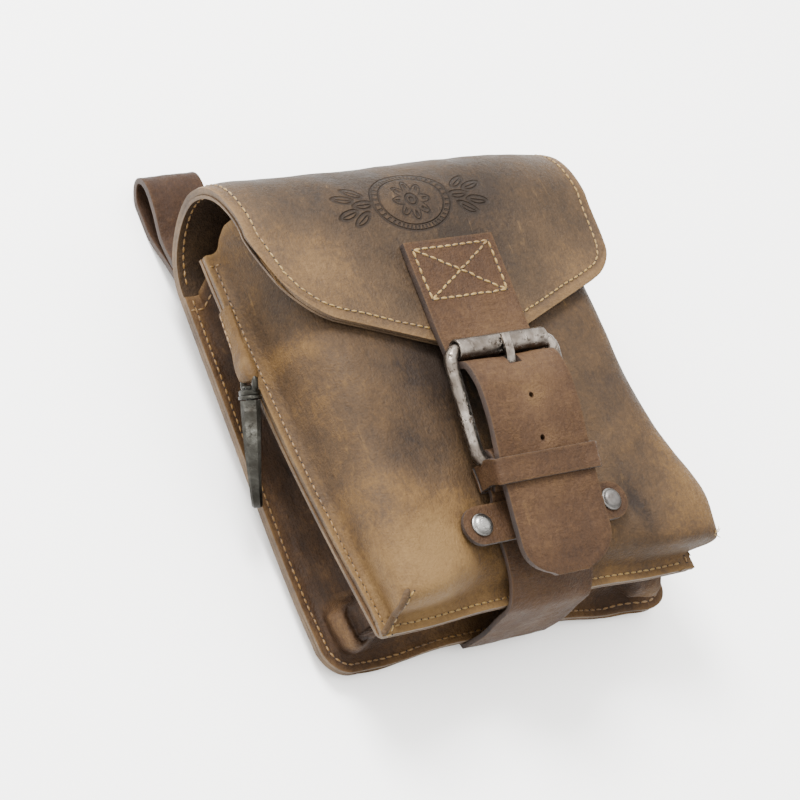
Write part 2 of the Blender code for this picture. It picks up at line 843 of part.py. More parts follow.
def build_gusset(holder, looks):
    half = even(6, 0.0, 0.50)[:-1] + even(10, 0.50, 0.78)[:-1] + even(4, 0.78, 1.0)
    left = [share - 1 for share in half]
    columns = left + [-value for value in reversed(left[:-1])]
    stations = list(range(len(gusset_stations)))
    leather_sheet("gusset", columns, stations, gusset, gusset_leather, looks["gusset"], holder)


# Straps

def build_flap_strap(holder, looks):
    """Strap sewn on the flap, which dips under the roller and rises again as a free tongue."""
    line = flap_strap_line()
    tip = line[-1].x

    def half_width(row):
        before_tip = clamp((line[row].x - tip) / tongue_tip_length)
        return half_strap * max(0.32, (1 - (1 - before_tip) ** 2.4) ** 0.5)

    strap = strip("flap_strap", line, half_width, strap_leather, looks["strap"], holder, across=2, flip=True)
    rise_start = roller_axis.y - roller_reach
    for place in (1, 2):
        y = rise_start - tongue_hole_start - tongue_hole_pitch * (place - 1)
        middle = Vector((0, y, height_on(line, y)))
        hole = cylinder(middle, Vector((0, 0, 1)), tongue_hole_radius, strap_leather * 2, steps=8)
        combine(strap, add_cutter("tongue_hole_cutter_%d" % place, hole, holder), "DIFFERENCE")
    half_slot = prong_width / 2 + prong_slot_room
    slot = block(Vector((-half_slot, rise_start - prong_slot_length, roller_axis.z)),
                 Vector((half_slot, rise_start + gap, roller_axis.z + 2 * tongue_lift)))
    combine(strap, add_cutter("prong_slot_cutter", slot, holder), "DIFFERENCE")


def build_lower_strap(holder, looks):
    """Strap wrapped round the buckle's bottom bar and led over the front's edge to the back."""
    line = lower_strap_line()
    strap = strip("lower_strap", line, lambda row: half_strap, lower_strap_leather, looks["strap"], holder,
                  across=2)
    half_slot = prong_width / 2 + prong_root_room
    reach = Vector((half_slot, prong_root_length / 2, prong_root_height / 2))
    slot = block(bottom_bar - reach, bottom_bar + reach)
    combine(strap, add_cutter("prong_root_cutter", slot, holder), "DIFFERENCE")


def build_keeper(holder, looks):
    """Leather loop round the lower strap and the tongue, with its top run lying along the tongue."""
    line = flap_strap_line()
    low_y = bottom_bar.y - keeper_place - gap
    bm = bmesh.new()
    rings = []
    for share in even(3):
        top_y = low_y + 2 * gap + keeper_width * share
        high = height_on(line, top_y) + gap + trim_leather
        ring = []
        for x, z in rounded_rectangle(keeper_half_span, keeper_bottom, high, keeper_corner_radius, 3, 4):
            shear = smooth((z - roller_axis.z) / keeper_shear_height + 0.43)
            y = mix(low_y + keeper_side_width * share, top_y, shear)
            ring.append(bm.verts.new((x, y, z)))
        rings.append(ring)
    join_rings(bm, rings)
    keeper = add_object("keeper_loop", bm, looks["strap"], holder)
    wall = keeper.modifiers.new("wall", "SOLIDIFY")
    wall.thickness = trim_leather
    wall.offset = -1.0


def build_band(holder, looks):
    """Cross band over the lower strap, held by a rivet at each end."""
    radius = band_width / 2
    reach = band_length / 2 - radius
    outline = []
    for sign in (1, -1):
        for turn in even(8, -pi / 2, pi / 2):
            outline.append(Vector((sign * (reach + radius * cos(turn)),
                                   band_place + sign * radius * sin(turn), band_bottom + trim_leather)))
    bm = bmesh.new()
    bm.faces.new([bm.verts.new(point) for point in outline])
    band = add_object("cross_band", bm, looks["strap"], holder)
    wall = band.modifiers.new("wall", "SOLIDIFY")
    wall.thickness = trim_leather
    wall.offset = -1.0
    profile = [(0.0, 0.0), (1.0, 0.0), (0.96, 0.30), (0.78, 0.68), (0.46, 0.93), (0.0, 1.0)]
    for side, sign in (("left", -1), ("right", 1)):
        foot = Vector((sign * rivet_spacing / 2, band_place, band_bottom + trim_leather + gap))
        dome = turned([(rivet_radius * across, rivet_height * up) for across, up in profile],
                      foot, Vector((0, 0, 1)), steps=16)
        add_object("rivet_%s" % side, dome, looks["metal"], holder)


def build_belt_loops(holder, looks):
    """Two loops sewn to the back near its top, each one strap folded double and pressed on the ground."""
    for side, sign, reach in (("left", -1, left_loop_reach), ("right", 1, right_loop_reach)):
        line = []
        for point in loop_line(reach):
            floor = (ground - point.x * sin(rest_angle)) / cos(rest_angle)
            line.append(Vector((point.x, max(point.y, floor))))
        middle = sign * (back_width_bottom / 2 - loop_width / 2)
        strip("belt_loop_%s" % side, line, lambda row: loop_width / 2, loop_leather, looks["strap"],
              holder, across=1, middle=middle)


# Buckle

def build_buckle(holder, looks):
    """Round-rod frame on the lower strap, with a turning tube on its top bar and a prong."""
    reach = (roller_axis - bottom_bar).length
    normal = sideways.cross(buckle_up)
    corners = rounded_rectangle(buckle_width / 2, 0.0, reach, buckle_corner_radius, 4)
    path = [bottom_bar + sideways * x + buckle_up * along for x, along in corners]
    frame = rod_ring(path, normal, rod_radius, 10)
    add_object("buckle_frame", frame, looks["metal"], holder)

    inner = roller_radius - roller_wall
    half = roller_length / 2
    profile = [(inner, -half), (roller_radius, -half), (roller_radius, half), (inner, half)]
    tube = turned(profile + profile[:1], Vector(), sideways, steps=24)
    roller = add_object("roller", tube, looks["metal"], holder)
    roller.location = roller_axis

    ring_inner = rod_radius + wrap_gap
    ring_outer = ring_inner + prong_thickness
    half = prong_width / 2
    profile = [(ring_inner, -half), (ring_outer, -half), (ring_outer, half), (ring_inner, half)]
    ring = turned(profile + profile[:1], bottom_bar, sideways, steps=20)
    prong = add_object("prong", ring, looks["metal"], holder)
    half_thick = prong_thickness / 2
    line = prong_line()
    rings = []
    bm = bmesh.new()
    for index, point in enumerate(line):
        before = line[max(index - 1, 0)]
        after = line[min(index + 1, len(line) - 1)]
        up = sideways.cross(after - before).normalized()
        taper = mix(1.0, 0.78, index / (len(line) - 1))
        rings.append([bm.verts.new(point + sideways * half * taper * a + up * half_thick * taper * b)
                      for a, b in ((-1, -1), (1, -1), (1, 0.5), (0.7, 1), (-0.7, 1), (-1, 0.5))])
    join_rings(bm, rings, capped=True)
    combine(prong, add_cutter("prong_bar", bm, holder), "UNION")


def prong_line():
    """Middle line of the prong, from its root ring under the tongue and out over the roller."""
    root = rod_radius + wrap_gap + prong_thickness / 2
    over = roller_radius + easy_gap + prong_thickness / 2
    points = [bottom_bar + Vector((0, -0.6 * mm, root - 0.05 * mm)),
              bottom_bar + Vector((0, 17.0 * mm, root + 1.1 * mm)),
              roller_axis + Vector((0, -16.0 * mm, 1.6 * mm)),
              roller_axis + Vector((0, -11.0 * mm, 2.9 * mm)),
              roller_axis + Vector((0, -7.0 * mm, 4.7 * mm)),
              roller_axis + Vector((0, -3.2 * mm, over - 0.1 * mm)),
              roller_axis + Vector((0, prong_overhang, over))]
    return curve_through(points, 2)


# Snap hook on its tab

hook_down = Vector((-sin(hook_out_angle) * cos(hook_down_angle), -cos(hook_out_angle) * cos(hook_down_angle),
                    -sin(hook_down_angle)))
bar_way = (Vector((0, 0, 1)) - hook_down * hook_down.z).normalized()
bail_way = hook_down.cross(bar_way)
gate_way = -cos(hook_turn) * bar_way - sin(hook_turn) * bail_way
pin_way = hook_down.cross(gate_way)
hook_top_y = back_height - hook_below_fold
hook_top = Vector((-front_half_width(hook_top_y) - hook_stand_off, hook_top_y,
                   side_depth(hook_top_y) - hook_drop))
bail_bar = hook_top - hook_down * eye_bar_place


def hook_place(side, along, depth=0.0):
    """A place in the hook's own frame: towards the gate, down the hook, and along the gate's pin."""
    return hook_top + gate_way * side + hook_down * along + pin_way * depth


gate_pivot = hook_place(gate_side, gate_place)


def flat_bar(rows):
    """A bar with chamfered corners through rows of side, along, width and thickness in the hook's frame."""
    bm = bmesh.new()
    rings = []
    for index, row in enumerate(rows):
        before = rows[max(index - 1, 0)]
        after = rows[min(index + 1, len(rows) - 1)]
        run = Vector((after[0] - before[0], after[1] - before[1])).normalized()
        centre = hook_place(row[0], row[1])
        across = gate_way * run.y - hook_down * run.x
        half = row[2] / 2
        thick = row[3] / 2
        corners = ((-1, -0.55), (-0.6, -1), (0.6, -1), (1, -0.55), (1, 0.55), (0.6, 1), (-0.6, 1), (-1, 0.55))
        rings.append([bm.verts.new(centre + across * half * a + pin_way * thick * b) for a, b in corners])
    join_rings(bm, rings, capped=True)
    return bm


def build_hook(holder, looks):
    """Flat snap hook that turns on a stem in its eye, closed by a sprung gate."""
    rows = [Vector((hook_half_width * row.side, hook_length * row.along, hook_bar * row.bar,
                    hook_thickness * row.thickness)) for row in hook_path]
    hook = add_object("snap_hook", flat_bar(rows), looks["hook"], holder)
    ear_radius = gate_bar / 2 + ear_wall
    half_ear = gate_thickness / 2 + ear_side
    ear = cylinder(gate_pivot, pin_way, ear_radius, half_ear, steps=16)
    combine(hook, add_cutter("ear_round", ear, holder), "UNION")
    cheek = flat_bar([Vector((gate_side - 5.4 * mm, gate_place - 1.6 * mm, 2 * ear_radius, 2 * half_ear)),
                      Vector((gate_side, gate_place, 2 * ear_radius, 2 * half_ear))])
    combine(hook, add_cutter("ear_cheek", cheek, holder), "UNION")
    head_low = eye_top + gap + 0.1 * mm
    profile = [(0.0, -2.0 * mm), (stem_radius, -2.0 * mm), (stem_radius, head_low), (stem_head_radius, head_low),
               (stem_head_radius, head_low + stem_head_height), (0.0, head_low + stem_head_height)]
    stem = turned(profile, hook_top, -hook_down, steps=16)
    combine(hook, add_cutter("stem", stem, holder), "UNION")
    slot = bmesh.new()
    half_slot = gate_thickness / 2 + easy_gap
    root = ear_radius + 0.35 * mm
    low = gate_side - root
    corners = [(low, gate_place - root), (gate_side + 2 * root, gate_place - root),
               (gate_side + 2 * root, gate_place + 2.4 * root), (low - 2.6 * mm, gate_place + 2.4 * root)]
    rings = [[slot.verts.new(hook_place(side, along, depth)) for side, along in corners]
             for depth in (-half_slot, half_slot)]
    join_rings(slot, rings, capped=True)
    combine(hook, add_cutter("gate_slot_cutter", slot, holder), "DIFFERENCE")
    bore = cylinder(gate_pivot, pin_way, gate_pin_radius + gap, half_ear * 2, steps=12)
    combine(hook, add_cutter("gate_pin_cutter", bore, holder), "DIFFERENCE")

    gate_rows = [Vector((gate_side, gate_place, gate_bar, gate_thickness)),
                 Vector((gate_side - 0.3 * mm, gate_place + 6 * mm, gate_bar, gate_thickness)),
                 Vector((gate_side - 0.9 * mm, gate_place + 12 * mm, gate_bar, gate_thickness)),
                 Vector((gate_side - 1.5 * mm, gate_place + gate_length, gate_bar * 0.85, gate_thickness * 0.85))]
    gate = add_object("hook_gate", flat_bar(gate_rows), looks["hook"], holder)
    root_disc = cylinder(gate_pivot, pin_way, gate_bar / 2 + 0.35 * mm, gate_thickness / 2 + 0.1 * mm, steps=16)
    combine(gate, add_cutter("gate_root", root_disc, holder), "UNION")
    pin = cylinder(gate_pivot, pin_way, gate_pin_radius, half_ear - 0.1 * mm, steps=10)
    combine(gate, add_cutter("gate_pin", pin, holder), "UNION")


def build_eye(holder, looks):
    """Eye above the hook: a round knob with a collar under a wire bail, bored for the hook's stem."""
    start = gap + 0.05 * mm
    profile = [(0.0, start), (eye_collar_radius, start), (eye_collar_radius, start + eye_collar_length),
               (eye_knob_radius, start + eye_collar_length), (eye_knob_radius, eye_top - 0.9 * mm),
               (eye_knob_radius * 0.8, eye_top), (0.0, eye_top)]
    knob = turned(profile, hook_top, -hook_down, steps=20)
    eye = add_object("hook_eye", knob, looks["hook"], holder)
    corners = rounded_rectangle(eye_span / 2, eye_top - eye_rod_radius, eye_bar_place, 2.0 * mm, 3)
    path = [hook_top + bar_way * across - hook_down * along for across, along in corners]
    bail = rod_ring(path, bail_way, eye_rod_radius, 10)
    combine(eye, add_cutter("bail", bail, holder), "UNION")
    bore = cylinder(hook_top, hook_down, stem_radius + gap, eye_top + 0.3 * mm, steps=16)
    combine(eye, add_cutter("stem_bore_cutter", bore, holder), "DIFFERENCE")


def build_tab(holder, looks):
    """Tab sewn on the gusset at one end and looped round the eye's bar at the other."""
    sewn = []
    for along in (tab_start - tab_sewn_share, tab_start):
        low = gusset(along, 3)
        high = gusset(along, 4)
        sewn.append(low.lerp(high, tab_rise) - sideways * (tab_leather + tab_stand_off))
    middle = sewn + [bail_bar + Vector((row.out, row.up, row.forward)) * tab_reach for row in tab_steps]
    middle = curve_through(middle + [bail_bar.copy()], 2)[:-2]
    at_bar = eye_rod_radius + gap + tab_leather
    near_seam = tab_leather + gap / 2
    count = len(middle) - 1
    lines = []
    for index, point in enumerate(middle):
        share = smooth((index - 3) / (count - 3))
        width_way = Vector((0, -0.15, 1)).lerp(bar_way, share).normalized()
        run = (middle[min(index + 1, count)] - middle[max(index - 1, 0)]).normalized()
        away = run.cross(width_way).normalized()
        lines.append((point, width_way, away * mix(near_seam, at_bar, share ** 2)))
    rows = [(point - away, way) for point, way, away in lines]
    first = lines[-1][2].normalized()
    forward = bar_way.cross(first).normalized()
    if forward.dot(hook_down) < 0:
        forward = -forward
    for turn in even(8, -80.0, 80.0):
        angle = radians(turn)
        rows.append((bail_bar + (first * sin(angle) + forward * cos(angle)) * at_bar, bar_way))
    rows += [(point + away, way) for point, way, away in reversed(lines)]

    def place(side, row):
        point, way = rows[row]
        return point + way * side * tab_width / 2
    leather_sheet("hook_tab", even(2, -1.0), list(range(len(rows))), place, tab_leather, looks["strap"], holder)


# The whole bag

def set_origin(name, place):
    """Give a turning piece its origin on its own axis."""
    piece = bpy.data.objects[name]
    piece.data.transform(Matrix.Translation(-place))
    piece.location = place


def lay_down(holder):
    """Turn the bag to its rest, with its lowest point on the ground and its footprint about the origin."""
    holder.rotation_euler = (rest_angle, 0, 0)
    bpy.context.view_layer.update()
    graph = bpy.context.evaluated_depsgraph_get()
    points = []
    for piece in bpy.data.objects:
        if piece.type == "MESH" and not piece.hide_render:
            shaped = piece.evaluated_get(graph)
            points += [piece.matrix_world @ vertex.co for vertex in shaped.data.vertices]
    low = [min(point[axis] for point in points) for axis in range(3)]
    high = [max(point[axis] for point in points) for axis in range(3)]
    holder.location = (-(low[0] + high[0]) / 2, -(low[1] + high[1]) / 2, -low[2])
    bpy.context.view_layer.update()


def build():
    for old in list(bpy.data.objects):
        bpy.data.objects.remove(old, do_unlink=True)
    holder = bpy.data.objects.new("bag_at_rest", None)
    bpy.context.scene.collection.objects.link(holder)
    looks = {
        "body": material("body_leather", (0.24, 0.15, 0.09), 0.62, 0.0),
        "lining": material("lining_leather", (0.12, 0.075, 0.05), 0.75, 0.0),
        "gusset": material("gusset_leather", (0.16, 0.10, 0.07), 0.66, 0.0),
        "strap": material("strap_leather", (0.19, 0.10, 0.065), 0.6, 0.0),
        "metal": material("antique_nickel", (0.42, 0.40, 0.37), 0.38, 1.0),
        "hook": material("dark_steel", (0.22, 0.21, 0.20), 0.42, 1.0),
    }
    build_body(holder, looks)
    build_front(holder, looks)
    build_gusset(holder, looks)
    build_flap_strap(holder, looks)
    build_lower_strap(holder, looks)
    build_keeper(holder, looks)
    build_band(holder, looks)
    build_belt_loops(holder, looks)
    build_buckle(holder, looks)
    build_hook(holder, looks)
    build_eye(holder, looks)
    build_tab(holder, looks)
    set_origin("snap_hook", hook_top)
    set_origin("hook_gate", gate_pivot)
    lay_down(holder)


build()
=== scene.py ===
"""Looks of the leather belt bag: hides with their folds and wear, seams of single stitches, aged metal.

The bag frame is the one that the pieces are cut in: x to the right, y from the bottom seam up to the
fold, z from the back panel to the front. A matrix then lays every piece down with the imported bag.
"""

from bisect import bisect_left
from collections import namedtuple
from math import atan2, cos, pi, radians, sin, sqrt

import bpy
import numpy as np
from mathutils import Matrix, Vector
from mathutils.bvhtree import BVHTree


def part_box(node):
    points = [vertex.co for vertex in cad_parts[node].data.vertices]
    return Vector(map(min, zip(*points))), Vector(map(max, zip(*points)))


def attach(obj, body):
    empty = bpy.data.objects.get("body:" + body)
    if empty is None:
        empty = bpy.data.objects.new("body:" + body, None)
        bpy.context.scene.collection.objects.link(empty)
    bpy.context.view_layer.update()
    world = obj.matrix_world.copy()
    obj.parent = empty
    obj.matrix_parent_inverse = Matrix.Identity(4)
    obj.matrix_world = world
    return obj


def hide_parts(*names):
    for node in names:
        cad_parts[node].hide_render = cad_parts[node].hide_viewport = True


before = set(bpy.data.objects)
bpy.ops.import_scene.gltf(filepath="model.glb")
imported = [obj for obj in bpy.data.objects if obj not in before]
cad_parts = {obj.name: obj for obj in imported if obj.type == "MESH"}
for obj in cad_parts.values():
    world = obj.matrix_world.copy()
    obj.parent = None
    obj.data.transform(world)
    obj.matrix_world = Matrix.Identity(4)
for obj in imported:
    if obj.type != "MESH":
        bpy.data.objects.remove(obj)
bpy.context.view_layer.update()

mm = 0.001

# Clearances
gap = 0.3 * mm
easy_gap = 0.45 * mm

# Leathers
leather = 2.2 * mm
lining_leather = 1.2 * mm
lining_gap = 0.12 * mm
gusset_leather = 1.6 * mm
strap_leather = 3.0 * mm
lower_strap_leather = 2.2 * mm
trim_leather = 2.0 * mm
loop_leather = 2.6 * mm

# Back panel
back_height = 171.5 * mm
back_width_bottom = 170.0 * mm
back_width_top = 180.0 * mm
back_corner_radius = 13.0 * mm
back_corner_lift = 4.5 * mm
strap_pull = 5.0 * mm

# Fold and flap
fold_radius = 31.1 * mm
fold_width = 175.0 * mm
flap_drop = 36.0 * mm
flap_point_drop = 29.0 * mm
flap_corner_width = 157.0 * mm
flap_corner_radius = 16.0 * mm
right_flap_corner_radius = 10.0 * mm
flap_rise = 1.5 * mm
flap_side_droop = 5.5 * mm

# Gusset
gusset_fold = 13.0 * mm
seam_width = 6.2 * mm
gusset_top_margin = 1.8 * mm

# Front panel
front_rim_bottom = 5.8 * mm
front_rim_top_margin = 7.5 * mm
front_lip = 6.9 * mm
front_width_bottom = 159.2 * mm
front_width_top = 172.0 * mm
front_bow = 3.0 * mm
side_depth_bottom = 43.6 * mm
side_depth_top = 21.0 * mm
front_depth = 64.0 * mm
flange_width = 6.5 * mm
side_run = 17.0 * mm
corner_run = 6.0 * mm
middle_run = 30.0 * mm
corner_bulge = 13.5 * mm
bottom_bulge = 2.0 * mm
trough_width = 50.0 * mm

# Straps
strap_width = 45.0 * mm
strap_box_height = 51.0 * mm
tongue_length = 92.0 * mm
tongue_lift = 8.0 * mm
tongue_tip_length = 16.0 * mm
tongue_hole_radius = 1.1 * mm
tongue_hole_start = 21.1 * mm
tongue_hole_pitch = 17.3 * mm
strap_dip_length = 9.0 * mm
strap_dip_lift = 0.6 * mm
prong_slot_length = 9.6 * mm
prong_slot_room = 0.55 * mm
strap_back_length = 38.0 * mm
strap_return_length = 12.0 * mm
strap_return_drop = 1.3 * mm
strap_throat_length = 7.4 * mm
strap_throat_rise = 1.9 * mm

# Buckle
bar_above_band = 23.4 * mm
bar_above_front = 4.0 * mm
rod_radius = 2.8 * mm
roller_radius = 4.4 * mm
roller_wall = 1.15 * mm
buckle_room = 0.4 * mm
buckle_height = 46.6 * mm
buckle_corner_radius = 3.4 * mm
wrap_gap = 0.35 * mm
roller_rise = 5.2 * mm
prong_width = 5.0 * mm
prong_thickness = 2.0 * mm
prong_overhang = 2.0 * mm
prong_root_room = 0.9 * mm
prong_root_length = 13.0 * mm
prong_root_height = 16.0 * mm

# Keeper loop
keeper_width = 10.3 * mm
keeper_lean = 2.5 * mm
keeper_room = 3.7 * mm
keeper_corner_radius = 2.8 * mm
keeper_place = 12.0 * mm
keeper_below_front = 4.4 * mm
keeper_crease_height = 74.0 * mm

# Cross band and rivets
band_width = 16.0 * mm
band_length = 82.0 * mm
band_place = 36.0 * mm
band_below_front = 1.2 * mm
rivet_radius = 4.75 * mm
rivet_height = 2.4 * mm
rivet_spacing = 65.4 * mm

# Belt loops
loop_width = 27.0 * mm
left_loop_reach = 57.5 * mm
right_loop_reach = 47.0 * mm
loop_depth = 18.0 * mm
loop_sewn_length = 30.0 * mm
loop_press = 0.6 * mm

# Hook, its eye and its tab
hook_below_fold = 57.5 * mm
hook_stand_off = 5.1 * mm
hook_drop = 1.8 * mm
hook_out_angle = radians(5.7)
hook_down_angle = radians(19.5)
hook_turn = radians(32.7)
hook_length = 42.5 * mm
hook_half_width = 8.0 * mm
hook_thickness = 6.6 * mm
hook_bar = 4.2 * mm
stem_radius = 1.7 * mm
stem_head_radius = 2.8 * mm
stem_head_height = 1.0 * mm
eye_knob_radius = 4.4 * mm
eye_collar_radius = 4.7 * mm
eye_collar_length = 1.5 * mm
eye_top = 4.5 * mm
eye_bar_place = 9.6 * mm
eye_span = 11.4 * mm
eye_rod_radius = 1.3 * mm
gate_bar = 2.6 * mm
gate_thickness = 2.2 * mm
gate_side = 4.2 * mm
gate_place = 13.5 * mm
gate_length = 17.2 * mm
gate_pin_radius = 0.8 * mm
ear_wall = 1.0 * mm
ear_side = 1.7 * mm
tab_width = 7.6 * mm
tab_leather = 1.6 * mm

# Modelling
floor_room = 0.05 * mm
weld_distance = 0.002 * mm
strap_spacing = 1.2 * mm
metal_rounding = 0.25 * mm
least_gusset_fold = 0.35

# Tables: rows of shares, read by the name of their column

def table(columns, *rows):
    Row = namedtuple("Row", columns)
    return [Row(*row) for row in rows]


# Height of the front panel, in shares of front_depth, from its bottom rim to its top edge
front_heights = table("share middle side",
    (0.00, 0.912, 1.000), (0.08, 0.915, 1.000), (0.20, 0.920, 0.991),
    (0.30, 0.926, 0.978), (0.42, 0.932, 0.966), (0.53, 0.926, 0.947),
    (0.65, 0.917, 0.925), (0.80, 0.907, 0.894), (0.90, 0.889, 0.850),
    (1.00, 0.829, 0.758))

# Side and bottom walls of the front panel, from the flat front down to the flange's edge
front_wall = table("share run bulge rise flange",
    (0.00, 1.00, 0.00, 1.00, 1.0), (0.15, 0.76, 0.60, 0.95, 1.0), (0.30, 0.52, 1.00, 0.83, 1.0),
    (0.45, 0.33, 0.95, 0.66, 1.0), (0.60, 0.20, 0.70, 0.45, 1.0), (0.73, 0.10, 0.35, 0.22, 1.0),
    (0.85, 0.00, 0.00, 0.03, 1.0), (1.00, 0.00, 0.00, 0.00, 0.0))

# Outward bulge of the two side walls, in shares of corner_bulge, from bottom to top
side_bulges = table("share left right",
    (0.00, 0.45, 1.14), (0.10, 0.45, 1.16), (0.20, 0.32, 0.70),
    (0.33, 0.15, 0.20), (0.50, 0.05, 0.00), (0.80, 0.05, 0.02),
    (1.00, 0.42, 0.42))

# How far the front's height has gone from its middle value to its side value, from middle to shoulder
front_across = table("share lift",
    (0.00, 0.00), (0.42, 0.00), (0.52, 0.60), (0.64, 0.64), (0.85, 0.92),
    (1.00, 1.00))

# Inward fold of the gusset, in shares of gusset_fold, from the mouth to the middle of the bottom
gusset_folds = table("share depth",
    (0.00, 0.04), (0.10, 0.34), (0.25, 0.90), (0.40, 1.00), (0.50, 0.76),
    (0.56, 0.25), (0.61, -0.42), (0.66, -0.42), (0.70, 0.10), (0.76, 0.32),
    (0.84, 0.48), (1.00, 0.45))

# Stations across the gusset, from the back panel's rim to the front panel's rim
gusset_stations = table("seam fold rise",
    (0.0, 0.00, 0.00), (1.0, 0.00, 0.00), (1.0, 0.55, 0.14),
    (1.0, 0.96, 0.38), (1.0, 0.96, 0.62), (1.0, 0.55, 0.86),
    (1.0, 0.00, 1.00), (0.0, 0.00, 1.00))

# Free tongue of the flap strap, in shares of tongue_length and tongue_lift, from roller to tip
tongue_path = table("along height",
    (0.020, 0.50), (0.065, 0.80), (0.135, 1.02), (0.205, 1.04), (0.317, 0.91),
    (0.437, 0.60), (0.535, 0.32), (0.640, 0.17), (0.745, -0.03), (0.860, -0.22),
    (1.000, -0.65))

# Inner face of the lower strap where it follows the front down, in shares of front_depth from the
# back panel's bottom edge: along up the front, height above the back panel
lower_strap_bend = table("along height",
    (0.703, 0.974), (0.650, 0.968), (0.616, 0.935), (0.575, 0.925), (0.494, 0.915),
    (0.383, 0.889), (0.281, 0.850), (0.188, 0.803), (0.102, 0.745), (0.031, 0.680),
    (0.014, 0.594), (-0.002, 0.390), (-0.008, 0.190), (-0.006, 0.055))

# Outer face of a belt loop seen from its end, in shares of its reach and loop_depth: up its front
# run and down its back run
loop_path = table("along height",
    (0.08, 0.030), (0.20, 0.110), (0.34, 0.245), (0.50, 0.330), (0.68, 0.225),
    (0.84, 0.190), (0.95, 0.290), (1.00, 0.530), (0.96, 0.800), (0.84, 0.995),
    (0.68, 0.975), (0.52, 0.850), (0.36, 0.630), (0.20, 0.430), (0.08, 0.350))

# Profile of a rivet's head, in shares of rivet_radius and rivet_height
rivet_dome = ((0.0, 0.0), (1.0, 0.0), (1.0, 0.14), (0.97, 0.24), (0.91, 0.28), (0.87, 0.34), (0.80, 0.58),
              (0.66, 0.80), (0.46, 0.94), (0.22, 0.99), (0.0, 1.0))

# Centre line of the hook, in shares of hook_half_width and hook_length, with its bar and its thickness
# in shares of hook_bar and hook_thickness
hook_path = table("side along bar thickness",
    (0.00, 0.000, 1.60, 1.00), (0.00, 0.060, 1.75, 1.00), (-0.06, 0.140, 1.95, 1.00),
    (-0.30, 0.240, 1.45, 0.96), (-0.58, 0.340, 1.05, 0.90), (-0.72, 0.450, 0.95, 0.84),
    (-0.76, 0.580, 0.92, 0.76), (-0.74, 0.700, 0.90, 0.68), (-0.60, 0.830, 0.90, 0.60),
    (-0.30, 0.930, 0.90, 0.55), (0.08, 0.955, 0.88, 0.54), (0.46, 0.895, 0.82, 0.52),
    (0.68, 0.790, 0.72, 0.50), (0.74, 0.700, 0.60, 0.48))


# Small sums

def mix(low, high, share):
    return low + (high - low) * share


def clamp(value, low=0.0, high=1.0):
    return max(low, min(high, value))


def smooth(share):
    share = clamp(share)
    return share * share * (3 - 2 * share)


def rounding(distance, radius):
    """How far a rounded corner has drawn in, at a distance before its end."""
    if distance >= radius:
        return 0.0
    return radius - sqrt(max(0.0, radius * radius - (radius - distance) ** 2))


def read(rows, column, share):
    """Value of a table's column at a share, on a smooth curve through its rows."""
    shares = [row.share for row in rows]
    values = [getattr(row, column) for row in rows]
    if share <= shares[0]:
        return values[0]
    if share >= shares[-1]:
        return values[-1]
    last = len(rows) - 1
    low = max(index for index in range(last) if shares[index] <= share)
    high = low + 1
    step = shares[high] - shares[low]

    def slope(index):
        before = max(index - 1, 0)
        after = min(index + 1, last)
        return (values[after] - values[before]) / (shares[after] - shares[before])

    t = (share - shares[low]) / step
    start = (2 * t ** 3 - 3 * t ** 2 + 1) * values[low] + (t ** 3 - 2 * t ** 2 + t) * step * slope(low)
    finish = (3 * t ** 2 - 2 * t ** 3) * values[high] + (t ** 3 - t ** 2) * step * slope(high)
    return start + finish


def curve_through(points, pieces):
    """Points of a smooth curve through a few given points, with each span cut into equal pieces."""
    found = []
    for index in range(len(points) - 1):
        before = points[max(index - 1, 0)]
        start = points[index]
        finish = points[index + 1]
        after = points[min(index + 2, len(points) - 1)]
        for step in range(pieces):
            t = step / pieces
            found.append(0.5 * (2 * start + (finish - before) * t
                                + (2 * before - 5 * start + 4 * finish - after) * t ** 2
                                + (3 * start - before - 3 * finish + after) * t ** 3))
    found.append(points[-1].copy())
    return found


def even(count, low=0.0, high=1.0):
    return [mix(low, high, index / count) for index in range(count + 1)]


def turns(count):
    return even(count, 0, 2 * pi)[:-1]


def run_at(line, index):
    """From the point before one to the point after it, on a line."""
    return line[min(index + 1, len(line) - 1)] - line[max(index - 1, 0)]


def summed_lengths(line):
    lengths = [0.0]
    for first, second in zip(line, line[1:]):
        lengths.append(lengths[-1] + (second - first).length)
    return lengths


def span_at(lengths, target):
    """Index and share of the span in which a length along a line falls."""
    index = min(max(bisect_left(lengths, target) - 1, 0), len(lengths) - 2)
    span = lengths[index + 1] - lengths[index]
    return index, clamp((target - lengths[index]) / max(span, 1e-9))


def rounded_rectangle(half_width, low, high, radius, steps):
    """Points round a rectangle with rounded corners, as (across, up) pairs."""
    points = []
    for quarter, (sign, up) in enumerate(((1, high - radius), (-1, high - radius), (-1, low + radius),
                                          (1, low + radius))):
        for turn in even(steps, quarter * pi / 2, (quarter + 1) * pi / 2):
            points.append((sign * (half_width - radius) + radius * cos(turn), up + radius * sin(turn)))
    return points


# Shape of the back panel, the fold and the flap

def pulled_up(x):
    """How far the lower strap pulls the bottom seams up, strongest under the strap."""
    return strap_pull * (1 - smooth((abs(x) - strap_width * 0.55) / (strap_width * 0.8)))


def corner_lift(x, y):
    """How far the back panel's bottom corners curl up towards the front."""
    sideways = clamp((abs(x) / (back_width_bottom / 2) - 0.5) / 0.5)
    downwards = clamp(1 - y / (back_height * 0.4))
    return back_corner_lift * sideways ** 2 * downwards ** 2


def back_half_width(y):
    return mix(back_width_bottom, back_width_top, y / back_height) / 2


def flap_end(side):
    """Bottom edge of the flap at a share of its half width: a shallow point between two corners."""
    return back_height - flap_drop - flap_point_drop * (1 - abs(side))


def fold_radius_at(side):
    return fold_radius - flap_side_droop / 2 * abs(side) ** 4


